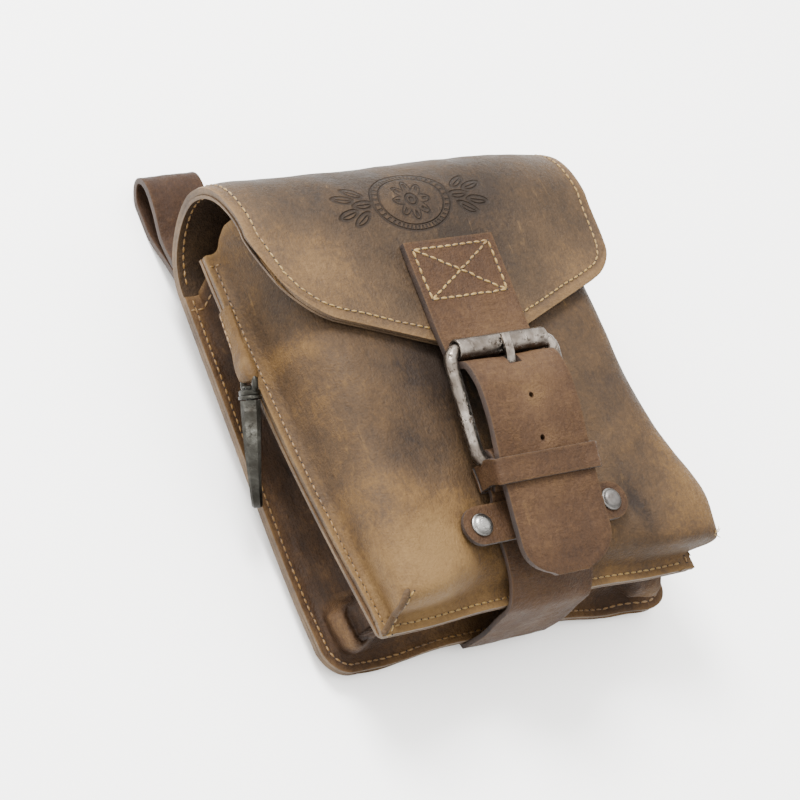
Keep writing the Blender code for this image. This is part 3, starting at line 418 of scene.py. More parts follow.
def flap_height(side, share):
    """Outer face of the flap in front of the fold, from the fold (0) to its end (1)."""
    full = 2 * fold_radius + flap_rise * share
    return full - flap_side_droop * abs(side) ** 4 * (1 - smooth(share))


def body_leather(side, along):
    """Outer face of the back (along 0 to 1), the fold (1 to 2) and the flap (2 to 3)."""
    if along <= 1:
        y = along * back_height
        half = back_half_width(y) - rounding(y, back_corner_radius)
        x = side * half
        y += pulled_up(x) * clamp(1 - y / (back_height * 0.25))
        return Vector((x, y, corner_lift(x, y)))
    if along <= 2:
        turn = (along - 1) * pi
        radius = fold_radius_at(side)
        half = mix(back_width_top, fold_width, smooth(along - 1)) / 2
        return Vector((side * half, back_height + radius * sin(turn), radius * (1 - cos(turn))))
    half = mix(fold_width, flap_corner_width, along - 2) / 2
    radius = right_flap_corner_radius if side > 0 else flap_corner_radius
    end = flap_end(side) + rounding((1 - abs(side)) * half, radius)
    y = mix(back_height, end, along - 2)
    share = clamp((back_height - y) / (back_height - flap_end(side)))
    half = mix(fold_width, flap_corner_width, share) / 2
    return Vector((side * half, y, flap_height(side, share)))


def fold_inwards(along):
    turn = clamp(along - 1) * pi
    return Vector((0, -sin(turn), cos(turn)))


def lining_face(side, along):
    """Outer face of the lining, a little inside the body leather's inner face."""
    return body_leather(side, along) + fold_inwards(along) * (leather + lining_gap)


# Shape of the front panel

front_rim_top = back_height + front_rim_top_margin
front_top = front_rim_top + front_lip
front_height = front_top - front_rim_bottom


def front_half_width(y):
    share = clamp((y - front_rim_bottom) / (front_rim_top - front_rim_bottom))
    return mix(front_width_bottom, front_width_top, share) / 2 + front_bow * sin(pi * share)


def side_depth(y):
    """Height of the front panel's rim above the back panel."""
    share = clamp((y - front_rim_bottom) / (front_rim_top - front_rim_bottom))
    return mix(side_depth_bottom, side_depth_top, share)


def front_rim_y(x):
    return front_rim_bottom + 0.3 * pulled_up(x)


def front_face_height(x, y, shoulder):
    share = (y - front_rim_bottom) / front_height
    lift = read(front_across, "lift", abs(x) / shoulder)
    middle = read(front_heights, "middle", share)
    side = read(front_heights, "side", share)
    return front_depth * mix(middle, side, lift)


def wall_at(share):
    """The front panel's wall at a share of its way down, 0 and less on the flat front."""
    first = front_wall[0]
    return first._replace(**{column: read(front_wall, column, share) for column in first._fields})


def front_panel(across, along):
    """Outer face of the front panel. across runs from -2 to 2 and along from -1 to 1: within 1 of the
    middle, and above 0, lies the front face, and beyond lie the walls down to the flange's edge."""
    side_wall = wall_at(abs(across) - 1)
    bottom_wall = wall_at(-along)
    share = clamp(along)
    side_bulge = side_wall.bulge
    low_bulge = bottom_wall.bulge
    if side_wall.rise > bottom_wall.rise:
        side_bulge = min(side_bulge, low_bulge)
    else:
        low_bulge = min(side_bulge, low_bulge)
    side_bulge *= read(side_bulges, "left" if across < 0 else "right", share) * corner_bulge
    y_guess = mix(front_rim_bottom, front_top, share)
    half = front_half_width(y_guess) - flange_width * side_wall.flange
    shoulder = front_half_width(y_guess) - flange_width - side_run
    reach = half - side_run * side_wall.run + side_bulge
    if share < 0.3:
        tight = 1 - smooth(share / 0.3)
        reach += (side_run - corner_run) * side_wall.run * tight
        shoulder += (side_run - corner_run) * tight
    x = clamp(across, -1, 1) * reach
    run = mix(middle_run, corner_run, smooth((abs(x) - trough_width * 0.4) / (trough_width * 0.8)))
    low_y = front_rim_y(x) + flange_width * bottom_wall.flange
    low_y += run * bottom_wall.run - bottom_bulge * low_bulge
    rise = min(side_wall.rise, bottom_wall.rise)
    high_y = mix(front_rim_top, front_top, sqrt(clamp(2.2 * side_wall.rise)))
    y = mix(low_y, high_y, share)
    rim = side_depth(y)
    return Vector((x, y, mix(rim, front_face_height(x, y, shoulder), rise)))


# Shape of the gusset

def back_rim(share):
    return rim_point(share, back_half_width, back_height - gusset_top_margin, 0.0, back_corner_radius,
                     pulled_up)


def front_rim(share):
    return rim_point(share, front_half_width, front_rim_top, front_rim_bottom, 3.0 * mm,
                     lambda x: 0.3 * pulled_up(x))


def rim_point(share, half_width, top, bottom, radius, pull):
    """Point and inward direction on a rim, from the mouth (0) to the middle of the bottom (1)."""
    side_end = 0.58
    corner_end = 0.70
    if share <= side_end:
        y = mix(top, bottom + radius, share / side_end)
        return Vector((half_width(y), y, 0)), Vector((-1, 0, 0))
    half = half_width(bottom + radius)
    if share <= corner_end:
        turn = (share - side_end) / (corner_end - side_end) * pi / 2
        centre = Vector((half - radius, bottom + radius, 0))
        outwards = Vector((cos(turn), -sin(turn), 0))
        return centre + outwards * radius, -outwards
    x = mix(half - radius, 0.0, (share - corner_end) / (1 - corner_end))
    return Vector((x, bottom + pull(x), 0)), Vector((0, 1, 0))


# Places that several pieces share

bottom_bar = Vector((0, band_place + bar_above_band, front_depth + bar_above_front))
roller_axis = bottom_bar + Vector((0, buckle_height, roller_rise))
buckle_up = (roller_axis - bottom_bar).normalized()
roller_reach = roller_radius + easy_gap
half_strap = strap_width / 2
buckle_width = strap_width + 2 * (buckle_room + rod_radius)
roller_length = buckle_width - 2 * (buckle_corner_radius + gap)
keeper_half_span = half_strap + keeper_room + trim_leather
keeper_bottom = front_depth - keeper_below_front
band_bottom = front_depth - band_below_front
sideways = Vector((1, 0, 0))


def flap_strap_line():
    """Top face of the flap strap as (y, z) points, from the fold under the roller to the tongue's tip."""
    line = []
    for share in even(5):
        y = roller_axis.y + mix(strap_box_height, strap_dip_length, share)
        flap_share = clamp((back_height - y) / (flap_drop + flap_point_drop))
        face = 2 * fold_radius + flap_rise * flap_share
        line.append(Vector((y, face + gap + strap_leather + strap_dip_lift * share)))
    for turn in even(5, -100.0, -172.0):
        angle = radians(turn)
        line.append(Vector((roller_axis.y + roller_reach * cos(angle),
                            roller_axis.z + roller_reach * sin(angle))))
    start = line[-1]
    rise = [Vector((start.x - tongue_length * row.along, roller_axis.z + tongue_lift * row.height))
            for row in tongue_path]
    return line + curve_through([start] + rise, 2)[1:]


def height_on(line, y):
    """Height of a line that runs down along y, at one y."""
    for first, second in zip(line, line[1:]):
        if second.x <= y <= first.x:
            return mix(first.y, second.y, (first.x - y) / (first.x - second.x))
    return line[-1].y


def lower_strap_line():
    """Face of the lower strap away from the buckle's bar, from the return layer round to the back."""
    outer = rod_radius + wrap_gap + lower_strap_leather
    centre = Vector((bottom_bar.y, bottom_bar.z))
    line = [centre + Vector((-strap_return_length, -strap_return_drop)),
            centre + Vector((-strap_throat_length, strap_throat_rise))]
    for turn in even(7, 125.0, -90.0):
        line.append(centre + Vector((cos(radians(turn)), sin(radians(turn)))) * outer)
    edge = strap_pull
    bend = [Vector((edge + row.along * front_depth, row.height * front_depth)) for row in lower_strap_bend]
    line += bend
    line.append(Vector((edge - gap, gap)))
    line.append(Vector((edge - 0.7 * gap, -0.5 * gap)))
    line.append(Vector((edge + gap, -gap)))
    line += [Vector((y, -gap)) for y in even(3, edge + 2 * mm, edge + strap_back_length)]
    return line


def loop_line(reach):
    """Outer face of a belt loop as (y, z) points, from its sewn end over the loop to the other end.
    reach is how far the loop stands out past the back panel's top."""
    stack = gap + 2 * loop_leather + gap
    bend = [Vector((back_height + reach * row.along, -loop_depth * row.height)) for row in loop_path]
    bend = curve_through([Vector((back_height, -gap))] + bend + [Vector((back_height, -stack))], 2)
    low = [Vector((y, -gap)) for y in even(2, back_height - loop_sewn_length, back_height)[:-1]]
    return low + bend + [Vector((point.x, -stack)) for point in reversed(low)]


def lowest(points, tilt):
    return min(points, key=lambda point: point.x * sin(tilt) + point.y * cos(tilt))


def rest_tilt():
    """Slope of the ground that touches the lower strap and the two belt loops, and its height."""
    strap = [point + Vector((0, -lower_strap_leather)) for point in lower_strap_line()[-4:]]
    loop = [point + Vector((0, loop_press)) for point in loop_line(left_loop_reach)]
    tilt = 0.0
    for _ in range(6):
        near = lowest(strap, tilt)
        far = lowest(loop, tilt)
        tilt = atan2(near.y - far.y, far.x - near.x)
    return tilt, near.x * sin(tilt) + near.y * cos(tilt)


rest_angle, ground = rest_tilt()


# Snap hook on its tab

hook_down = Vector((-sin(hook_out_angle) * cos(hook_down_angle), -cos(hook_out_angle) * cos(hook_down_angle),
                    -sin(hook_down_angle)))
bar_way = (Vector((0, 0, 1)) - hook_down * hook_down.z).normalized()
bail_way = hook_down.cross(bar_way)
gate_way = -cos(hook_turn) * bar_way - sin(hook_turn) * bail_way
pin_way = hook_down.cross(gate_way)
hook_top_y = back_height - hook_below_fold
hook_top = Vector((-front_half_width(hook_top_y) - hook_stand_off, hook_top_y,
                   side_depth(hook_top_y) - hook_drop))
bail_bar = hook_top - hook_down * eye_bar_place


def hook_place(side, along, depth=0.0):
    """A place in the hook's own frame: towards the gate, down the hook, and along the gate's pin."""
    return hook_top + gate_way * side + hook_down * along + pin_way * depth


gate_pivot = hook_place(gate_side, gate_place)


# Where the bag lies: turned by the rest's slope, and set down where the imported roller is

rest_turn = Matrix.Rotation(rest_angle, 4, "X")
roller_low, roller_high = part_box("roller")
rest_shift = (roller_low + roller_high) / 2 - rest_turn @ roller_axis
lie_down = Matrix.Translation(rest_shift) @ rest_turn


# Fields over the hides: each takes an array of points in the bag frame

def waves(points, length, seed, stretch=(1, 1, 1), count=16):
    """Soft random swells of about one length, mostly between -1 and 1."""
    draw = np.random.default_rng(seed)
    directions = draw.normal(size=(count, 3))
    directions /= np.linalg.norm(directions, axis=1, keepdims=True)
    directions *= 2 * pi / length * draw.uniform(0.6, 1.25, (count, 1)) / np.array(stretch)
    phases = draw.uniform(0, 2 * pi, count)
    return np.cos(points @ directions.T + phases).sum(axis=1) / sqrt(count)


def bell(values, middle, width):
    return np.exp(-((values - middle) / width) ** 2)


def calm(edge, width):
    """0 at a piece's edge, 1 well inside it."""
    return 1 - np.exp(-(edge / width) ** 2)


def ramp_down(values, start, finish):
    """1 below the start, 0 above the finish, and smooth between."""
    share = np.clip((values - start) / (finish - start), 0, 1)
    return 1 - share * share * (3 - 2 * share)


def settled(points):
    """How this bag sits: its bottom edge is drawn up, its lower right corner is pressed out, its upper
    right corner leans in, and its fold swells most at the left end. Every piece takes the same small
    moves, each a share of a way in millimetres."""
    x, y, z = (points / mm).T
    low = ramp_down(y, 4, 40) * ramp_down(z, 12, 36)
    high = 1 - ramp_down(y, 150, 192)
    pulled = low * ramp_down(np.abs(x), 22, 62)
    corner = ramp_down(y, 2, 22) * (1 - ramp_down(x, 62, 84)) * ramp_down(z, 10, 28)
    swollen = (1 - ramp_down(y, 182, 205)) * ramp_down(x, -84, -44) * (1 - ramp_down(z, 4, 30))
    drawn_up = low * np.interp(x, (-88, -60, 0, 45, 84), (2.0, 2.6, 2.5, 2.8, 1.4))
    moves = ((low * (1 - ramp_down(x, 45, 82)), (3.6, 0, 0)),
             (high * (1 - ramp_down(x, 50, 88)), (-3.4, 0, 0)),
             (drawn_up, (0, 1, 0)),
             (pulled, (0, -3.4, 6.0)),
             (high * (1.6 + 0.8 * x / 88), (0, 1, 0)),
             (1 - ramp_down(y, 195, 226), (0, 1, 0)),
             (corner, (1.6, -2.2, 0)),
             (swollen, (1.2, 4.6, 0)))
    return points + mm * sum(share[:, None] * np.array(way) for share, way in moves)


def swells(points, *rows):
    """Summed waves: each row holds a depth and a length in millimetres, a seed and, in some, a stretch."""
    return sum(depth * mm * waves(points, length * mm, seed, *stretch)
               for depth, length, seed, *stretch in rows)


def patches(points, rows):
    """Listed tone: soft spots, each of (x, y, reach, tone) in millimetres on the front."""
    total = np.zeros(len(points))
    for x, y, reach, tone in rows:
        away = points[:, :2] / mm - np.array((x, y))
        total += tone * np.exp(-(away ** 2).sum(axis=1) / reach ** 2)
    return total


# Finishes

class Finish:
    """A material in the making: its steps add nodes, and lay puts the result on the surface."""

    def __init__(self, name, made=None):
        self.made = made or bpy.data.materials.new(name)
        self.made.use_nodes = True
        self.tree = self.made.node_tree

    def feed(self, socket, value):
        if isinstance(value, bpy.types.NodeSocket):
            self.tree.links.new(value, socket)
        else:
            socket.default_value = value

    def node(self, kind, inputs=None, **settings):
        made = self.tree.nodes.new(kind)
        for key, value in settings.items():
            setattr(made, key, value)
        for key, value in (inputs or {}).items():
            self.feed(made.inputs[key], value)
        return made

    def place(self, stretch=(1, 1, 1), shift=0.0, turn=(0, 0, 0)):
        coords = self.node("ShaderNodeTexCoord").outputs["Object"]
        return self.node("ShaderNodeMapping", {"Vector": coords, "Scale": stretch, "Rotation": turn,
                                               "Location": (shift, 0.7 * shift, 0.4 * shift)}).outputs[0]

    def attribute(self, name, output="Fac"):
        return self.node("ShaderNodeAttribute", attribute_name=name).outputs[output]

    def noise(self, place, scale, detail=3.0, roughness=0.55, distortion=0.0):
        inputs = {"Vector": place, "Scale": scale, "Detail": detail, "Roughness": roughness,
                  "Distortion": distortion}
        return self.node("ShaderNodeTexNoise", inputs).outputs["Fac"]

    def math(self, operation, *values):
        return self.node("ShaderNodeMath", dict(enumerate(values)), operation=operation).outputs[0]

    def times(self, first, second):
        return self.math("MULTIPLY", first, second)

    def add(self, field, share, total):
        """A field in its share, added to a total."""
        return self.math("MULTIPLY_ADD", field, share, total)

    def away(self, field, value):
        """How far a field is from a value."""
        return self.math("ABSOLUTE", self.math("SUBTRACT", field, value))

    def level(self, field, low, high, floor=0.0, top=1.0):
        return self.node("ShaderNodeMapRange", dict(enumerate((field, low, high, floor, top)))).outputs[0]

    def ramp(self, field, *stops):
        made = self.node("ShaderNodeValToRGB", {"Fac": field})
        band = made.color_ramp
        while len(band.elements) < len(stops):
            band.elements.new(1.0)
        for element, (place, colour) in zip(band.elements, stops):
            element.position = place
            element.color = (*colour, 1.0)
        return made.outputs["Color"]

    def blend(self, share, under, colour):
        inputs = {0: share, 6: under, 7: (*colour, 1.0)}
        return self.node("ShaderNodeMix", inputs, data_type="RGBA").outputs[2]

    def lay(self, colour, rough, height=None, strength=0.9, distance=0.0005, **others):
        """Put colour, roughness, relief and any other value on the surface."""
        surface = self.tree.nodes["Principled BSDF"].inputs
        if height:
            relief = self.node("ShaderNodeBump", {"Height": height, "Strength": strength,
                                                  "Distance": distance})
            self.feed(surface["Normal"], relief.outputs[0])
        for key, value in {"Base Color": colour, "Roughness": rough, **others}.items():
            self.feed(surface[key], value)
        return self.made


def paper(red, green, blue):
    """A colour given as it looks on paper, from 0 to 255, under this studio's strong light."""
    bright = [0.146 * (value / 255) ** 2.2 for value in (red, green, blue)]
    grey = sum(bright) / 3
    return tuple(grey + 1.08 * (value - grey) for value in bright)


def mix_colour(first, second, share):
    return tuple(mix(a, b, share) for a, b in zip(first, second))


Hide = namedtuple("Hide", "dark middle light scuff")


def waxed_leather(name, hide, grain=1.0, shift=0.0, rough=0.62, clouds=1.0, cracks=0.0, creases_and_shade=0.0,
                  worn=0.8, stamped=False):
    """Oiled hide: faint clouds of dark and light, short fibres, pale scuffs, fine grain, rubbed rim."""
    look = Finish(name)
    place = look.place(shift=shift)
    cloud = look.noise(place, 17.0, 3.0, 0.5, 0.5)
    mottle = look.noise(place, 75.0, 5.0, 0.66, 0.4)
    speckle = look.noise(place, 520.0, 5.0, 0.72)
    fibre = look.noise(look.place((1.0, 0.30, 1.0), shift, (0, 0, 0.5)), 900.0, 3.0, 0.7, 0.5)
    value = 0.5
    for field, share in ((cloud, 0.55 * clouds), (mottle, 0.48), (speckle, 0.42), (fibre, 0.34)):
        value = look.add(look.math("SUBTRACT", field, 0.5), share, value)
    # The tone attribute lightens or darkens the hide; on several pieces it carries painted shade and light.
    value = look.add(look.attribute("tone"), 0.16, value)
    colour = look.ramp(value, (0.16, hide.dark), (0.36, mix_colour(hide.dark, hide.middle, 0.55)),
                       (0.50, hide.middle), (0.66, hide.light), (0.90, hide.scuff))
    scrape_place = look.place((1.0, 0.12, 1.0), shift + 0.3, (0, 0, 0.7))
    scrape = look.level(look.noise(scrape_place, 330.0, 3.0, 0.6, 0.6), 0.64, 0.72)
    scrape = look.times(scrape, look.level(mottle, 0.46, 0.62))
    colour = look.blend(look.times(scrape, 0.45), colour, hide.scuff)
    rubbed = look.times(look.attribute("rim"), look.level(mottle, 0.30, 0.62, 0.3 * worn, worn))
    colour = look.blend(rubbed, colour, hide.scuff)
    pores = look.node("ShaderNodeTexVoronoi", {"Vector": place, "Scale": 1050.0}).outputs["Distance"]
    height = look.times(speckle, 0.9 * grain)
    for field, share in ((pores, -0.35 * grain), (fibre, 0.5 * grain), (mottle, 1.1)):
        height = look.add(field, share, height)
    if cracks:
        fine = look.noise(look.place((0.45, 1.0, 1.0), shift), 300.0, 4.0, 0.6, 1.6)
        lines = look.level(look.away(fine, 0.5), 0.0, 0.035, 1.0, 0.0)
        lines = look.times(lines, look.level(mottle, 0.40, 0.60))
        height = look.add(lines, -0.9 * cracks, height)
        colour = look.blend(look.times(lines, 0.35 * cracks), colour, hide.dark)
    # Creases in relief, with the hide painted darker in their valleys: painted shade in the creases.
    if creases_and_shade:
        folds = look.noise(look.place((1.0, 0.10, 1.0), shift), 260.0, 3.0, 0.55, 0.4)
        height = look.add(folds, 2.6 * creases_and_shade, height)
        colour = look.blend(look.times(look.level(folds, 0.36, 0.5, 0.5, 0.0), creases_and_shade), colour, hide.dark)
    if stamped:
        pressed = medallion(look)
        colour = look.blend(look.times(pressed, 0.80), colour, mix_colour(hide.dark, (0, 0, 0), 0.35))
        height = look.add(pressed, -1.8, height)
    return look.lay(colour, look.level(mottle, 0.3, 0.7, rough - 0.08, rough + 0.12), height,
                    **{"Specular IOR Level": 0.14})


def medallion(look):
    """A stamped oval with a rope border, an eight-petalled flower and a leaf spray at each end.
    It reads the hide's own flat places, in millimetres from the medallion's centre."""
    flat = look.node("ShaderNodeSeparateXYZ", {0: look.attribute("flat", "Vector")})
    across, along = flat.outputs[0], flat.outputs[1]

    def band(value, centre, half_width, soft=0.22):
        return look.level(look.away(value, centre), half_width - soft, half_width + soft, 1.0, 0.0)

    def distance(dx, dy, stretch=1.0, turn=0.0):
        moved_x = look.math("SUBTRACT", across, dx)
        moved_y = look.math("SUBTRACT", along, dy)
        run = look.add(moved_x, cos(turn) / stretch, look.times(moved_y, sin(turn) / stretch))
        rise = look.add(moved_y, cos(turn), look.times(moved_x, -sin(turn)))
        return look.math("SQRT", look.add(run, run, look.times(rise, rise))), rise

    centre = distance(0.0, 0.0)[0]
    oval = distance(0.0, 0.0, 1.42)[0]
    angle = look.math("ARCTAN2", along, across)
    beads = look.math("SINE", look.times(angle, 44.0))
    petals = look.math("ABSOLUTE", look.math("COSINE", look.times(angle, 4.0)))
    edge = look.math("SUBTRACT", centre, look.add(petals, 4.3, 4.7))
    marks = [band(oval, 13.6, 0.42), band(oval, 11.1, 0.26),
             look.times(band(oval, 12.35, 0.75), look.level(beads, 0.1, 0.6)),
             band(edge, 0.0, 0.45), look.times(band(edge, -2.3, 1.2, 0.5), look.level(petals, 0.90, 0.97)),
             band(centre, 2.6, 0.45), look.level(centre, 0.8, 1.4, 1.0, 0.0)]
    leaves = ((24.0, 0.0, 0.0), (26.6, 6.2, 0.55), (26.6, -6.2, -0.55),
              (32.4, 3.6, 0.25), (32.4, -3.6, -0.25))
    for side in (-1, 1):
        for reach, lift, turn in leaves:
            leaf, rise = distance(side * reach, lift, 2.5, side * turn)
            marks += [band(leaf, 1.75, 0.40),
                      look.times(band(rise, 0.0, 0.22), look.level(leaf, 1.3, 1.6, 1.0, 0.0))]
    found = marks[0]
    for mark in marks[1:]:
        found = look.math("MAXIMUM", found, mark)
    return found


def raw_edge(name, dark, light):
    """Cut edge of a hide: fibres in layers, darkened by wax."""
    look = Finish(name)
    place = look.place()
    fibres = look.noise(place, 700.0, 4.0, 0.7, 1.0)
    value = look.add(look.noise(place, 60.0), 0.6, look.times(fibres, 0.4))
    return look.lay(look.ramp(value, (0.35, dark), (0.62, light)), 0.75, fibres, 0.9, 0.0004)


def waxed_thread(name, colour, dark):
    look = Finish(name)
    place = look.place()
    twist = look.noise(place, 1500.0, 2.0)
    value = look.add(look.noise(place, 70.0), 0.75, look.times(twist, 0.35))
    return look.lay(look.ramp(value, (0.34, dark), (0.56, colour)), 0.5, twist, 0.8, 0.0003)


def needle_hole(name):
    # Dark brown standing for the needle holes: painted shade in the holes, with a little noise.
    look = Finish(name)
    hole_shade_noise = look.noise(look.place(), 900.0, 2.0)
    return look.lay(look.ramp(hole_shade_noise, (0.3, paper(38, 25, 16)), (0.8, paper(74, 52, 34))), 0.9)


def aged_metal(name, bright, dull, pit, rough=0.34, shift=0.0, spots=1.0):
    """Plated metal gone dull: bright where it is rubbed, brown and dark in the pits."""
    look = Finish(name)
    place = look.place(shift=shift)
    cloud = look.noise(place, 95.0, 5.0, 0.65, 0.6)
    fine = look.noise(place, 1900.0, 2.0, 0.6)
    colour = look.ramp(cloud, (0.30, mix_colour(pit, dull, 0.4)), (0.47, dull), (0.70, bright))
    holes = look.level(look.noise(place, 430.0, 5.0, 0.72), 0.34, 0.45, 1.0, 0.0)
    colour = look.blend(look.times(holes, 0.8 * spots), colour, pit)
    height = look.add(cloud, 0.5, look.add(holes, -0.9 * spots, look.times(fine, 0.35)))
    dull = look.level(cloud, 0.3, 0.7, rough + 0.2, rough - 0.06)
    return look.lay(colour, dull, height, 0.6, 0.0004, Metallic=1.0)


# Modelling steps: a primitive, its points laid on the shape, its wall, its rounded rim

def clear_selection():
    for piece in list(bpy.context.selected_objects):
        piece.select_set(False)


def added(step, **settings):
    """What a primitive's own step adds, with nothing else selected."""
    clear_selection()
    step(**settings)
    return bpy.context.active_object


def only(piece):
    clear_selection()
    piece.select_set(True)
    bpy.context.view_layer.objects.active = piece


def apply_step(piece, kind, **settings):
    only(piece)
    step = piece.modifiers.new(kind.lower(), kind)
    for key, value in settings.items():
        setattr(step, key, value)
    bpy.ops.object.modifier_apply(modifier=step.name)


def in_edit_mode(piece, *steps):
    """Run edit mode steps on the whole of a piece."""
    only(piece)
    bpy.ops.object.mode_set(mode="EDIT")
    bpy.ops.mesh.select_all(action="SELECT")
    for step in steps:
        step()
    bpy.ops.object.mode_set(mode="OBJECT")


def outwards():
    bpy.ops.mesh.remove_doubles(threshold=weld_distance)
    bpy.ops.mesh.normals_make_consistent(inside=False)


def points_of(piece, value="co"):
    found = np.empty(len(piece.data.vertices) * 3)
    piece.data.vertices.foreach_get(value, found)
    return found.reshape(-1, 3)


def move_points(piece, points):
    piece.data.vertices.foreach_set("co", points.ravel())
    piece.data.update()


def put_attribute(piece, name, values):
    if np.ndim(values) == 2:
        piece.data.attributes.new(name, "FLOAT_VECTOR", "POINT").data.foreach_set("vector", values.ravel())
    else:
        piece.data.attributes.new(name, "FLOAT", "POINT").data.foreach_set("value", values)


def finish_piece(piece, replaced=(), angle=40.0, body="bag"):
    """Lay the piece down with the bag, smooth it, tie it to its body, and hide the imported solids it
    replaces.
    """
    move_points(piece, settled(points_of(piece)))
    piece.data.transform(lie_down)
    points = points_of(piece)
    points[:, 2] = np.maximum(points[:, 2], floor_room)
    move_points(piece, points)
    only(piece)
    bpy.ops.object.shade_smooth_by_angle(angle=radians(angle))
    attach(piece, body)
    if replaced:
        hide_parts(*replaced)


def add_grid(name, columns, rows, place, passes=0):
    """A grid primitive with its points laid on a shape, whose sharp bends are eased in a few passes.
    It also gives each point's column and row."""
    last_column = len(columns) - 1
    last_row = len(rows) - 1
    piece = added(bpy.ops.mesh.primitive_grid_add, x_subdivisions=last_column,
                  y_subdivisions=last_row, size=2.0)
    piece.name = name
    start = points_of(piece)
    column = np.rint((start[:, 0] + 1) / 2 * last_column).astype(int)
    row = np.rint((start[:, 1] + 1) / 2 * last_row).astype(int)
    shape = np.array([[place(across, along) for across in columns] for along in rows])
    eased = calm(edge_distance(shape), 6 * mm)[1:-1, 1:-1, None]
    for _ in range(passes):
        beside = (shape[:-2, 1:-1] + shape[2:, 1:-1] + shape[1:-1, :-2] + shape[1:-1, 2:]) / 4
        shape[1:-1, 1:-1] += eased * (beside - shape[1:-1, 1:-1])
    move_points(piece, shape[row, column])
    return piece, shape, column, row


def edge_distance(shape):
    """Distance of every point of a grid from the nearest edge of its sheet, along the sheet."""
    up = np.cumsum(np.linalg.norm(np.diff(shape, axis=0), axis=2), axis=0)
    up = np.vstack([np.zeros((1, shape.shape[1])), up])
    over = np.cumsum(np.linalg.norm(np.diff(shape, axis=1), axis=2), axis=1)
    over = np.hstack([np.zeros((shape.shape[0], 1)), over])
    return np.minimum.reduce([up, up[-1:] - up, over, over[:, -1:] - over])


# A sheet's points with their x and y in millimetres, their column and row, and their distance from its edge
Sheet = namedtuple("Sheet", "points x y across along edge")


def sheet_piece(name, columns, rows, place, wall, finishes, relief=None, tone=None, flip=False,
                rim=0.35 * mm, wear=1.0 * mm, flat=None, passes=0):
    """A hide: a grid laid on its shape, raised by its relief, with a wall inwards and a rounded rim.
    finishes holds the hide's finish and its cut edge's finish."""
    piece, shape, column, row = add_grid(name, columns, rows, place, passes)
    if flip:
        in_edit_mode(piece, bpy.ops.mesh.flip_normals)
    points = points_of(piece)
    edge = edge_distance(shape)[row, column]
    sheet = Sheet(points, points[:, 0] / mm, points[:, 1] / mm, np.array(columns)[column],
                  np.array(rows)[row], edge)
    raised = relief(sheet) if relief else np.zeros(len(points))
    move_points(piece, points + points_of(piece, "normal") * raised[:, None])
    put_attribute(piece, "rim", np.exp(-(edge / wear) ** 2))
    # The tone also follows the relief: the hide is painted darker where it sinks and lighter where it
    # swells, painted shade and light.
    put_attribute(piece, "tone", (tone(sheet) if tone else 0) + raised / (1.2 * mm))
    if flat:
        put_attribute(piece, "flat", flat(sheet))
    for look in finishes:
        piece.data.materials.append(look)
    apply_step(piece, "SOLIDIFY", thickness=wall, offset=-1.0, material_offset_rim=1)
    if rim:
        apply_step(piece, "BEVEL", width=rim, segments=2, limit_method="ANGLE", angle_limit=radians(55))
    return piece


def strap_piece(name, path, half_width, wall, finishes, middle=lambda row: 0.0, across=26, **settings):
    """A strap along a path of (y, z) points."""
    def place(side, row):
        point = path[row]
        return Vector((middle(row) + side * half_width(row), point.x, point.y))
    return sheet_piece(name, even(across, -1.0), list(range(len(path))), place, wall, finishes, **settings)


def spun(name, profile, origin, axis, steps, look):
    """A piece turned on a lathe: its profile of (radius, along) points spun in edit mode."""
    piece = added(bpy.ops.mesh.primitive_plane_add, size=1.0)
    piece.name = name
    piece.data.clear_geometry()
    piece.data.from_pydata([(radius, 0, along) for radius, along in profile],
                           [(index, index + 1) for index in range(len(profile) - 1)], [])
    in_edit_mode(piece, lambda: bpy.ops.mesh.spin(steps=steps, angle=2 * pi, center=(0, 0, 0),
                                                  axis=(0, 0, 1)),
                 lambda: bpy.ops.mesh.select_all(action="SELECT"), outwards)
    turn = axis.to_track_quat("Z", "X").to_matrix().to_4x4()
    piece.data.transform(Matrix.Translation(origin) @ turn)
    piece.data.materials.append(look)
    return piece


def lofted(name, rings, look, looped=False):
    """A piece through rings of points: a grid rolled round into a tube, then welded, and capped unless
    its last ring meets its first."""
    if looped:
        rings = rings + rings[:1]
    count = len(rings[0])

    def place(around, ring):
        return rings[ring][around % count]

    piece = add_grid(name, list(range(count + 1)), list(range(len(rings))), place)[0]
    steps = [outwards]
    if not looped:
        steps = [lambda: bpy.ops.mesh.remove_doubles(threshold=weld_distance),
                 lambda: bpy.ops.mesh.select_all(action="DESELECT"),
                 lambda: bpy.ops.mesh.select_non_manifold(extend=False),
                 lambda: bpy.ops.mesh.fill_holes(sides=0),
                 lambda: bpy.ops.mesh.select_all(action="SELECT"), outwards]
    in_edit_mode(piece, *steps)
    piece.data.materials.append(look)
    return piece


def roughened(piece, depth, length, seed):
    """Small dents and swells all over a cast or hammered piece."""
    points = points_of(piece)
    move_points(piece, points + points_of(piece, "normal") * (depth * waves(points, length, seed))[:, None])


def places(rows):
    """Places in the bag frame from rows in millimetres."""
    return [Vector(row) * mm for row in rows]


def finer(line, spacing):
    """A line through the same points, cut into steps of about one spacing."""
    rounded = curve_through(line, 8)
    lengths = summed_lengths(rounded)
    count = max(2, round(lengths[-1] / spacing))
    found = []
    for step in range(count + 1):
        index, share = span_at(lengths, lengths[-1] * step / count)
        found.append(rounded[index].lerp(rounded[index + 1], share))
    return found


def spread(*spans):
    """Values over joined spans: each is (start, end, pieces)."""
    found = [spans[0][0]]
    for start, finish, pieces in spans:
        found += [mix(start, finish, (index + 1) / pieces) for index in range(pieces)]
    return found


def surface_tree(piece):
    """A piece's faces, for laying threads on it. It is read before the piece is laid down."""
    mesh = piece.data
    return BVHTree.FromPolygons([vertex.co for vertex in mesh.vertices],
                                [tuple(face.vertices) for face in mesh.polygons])


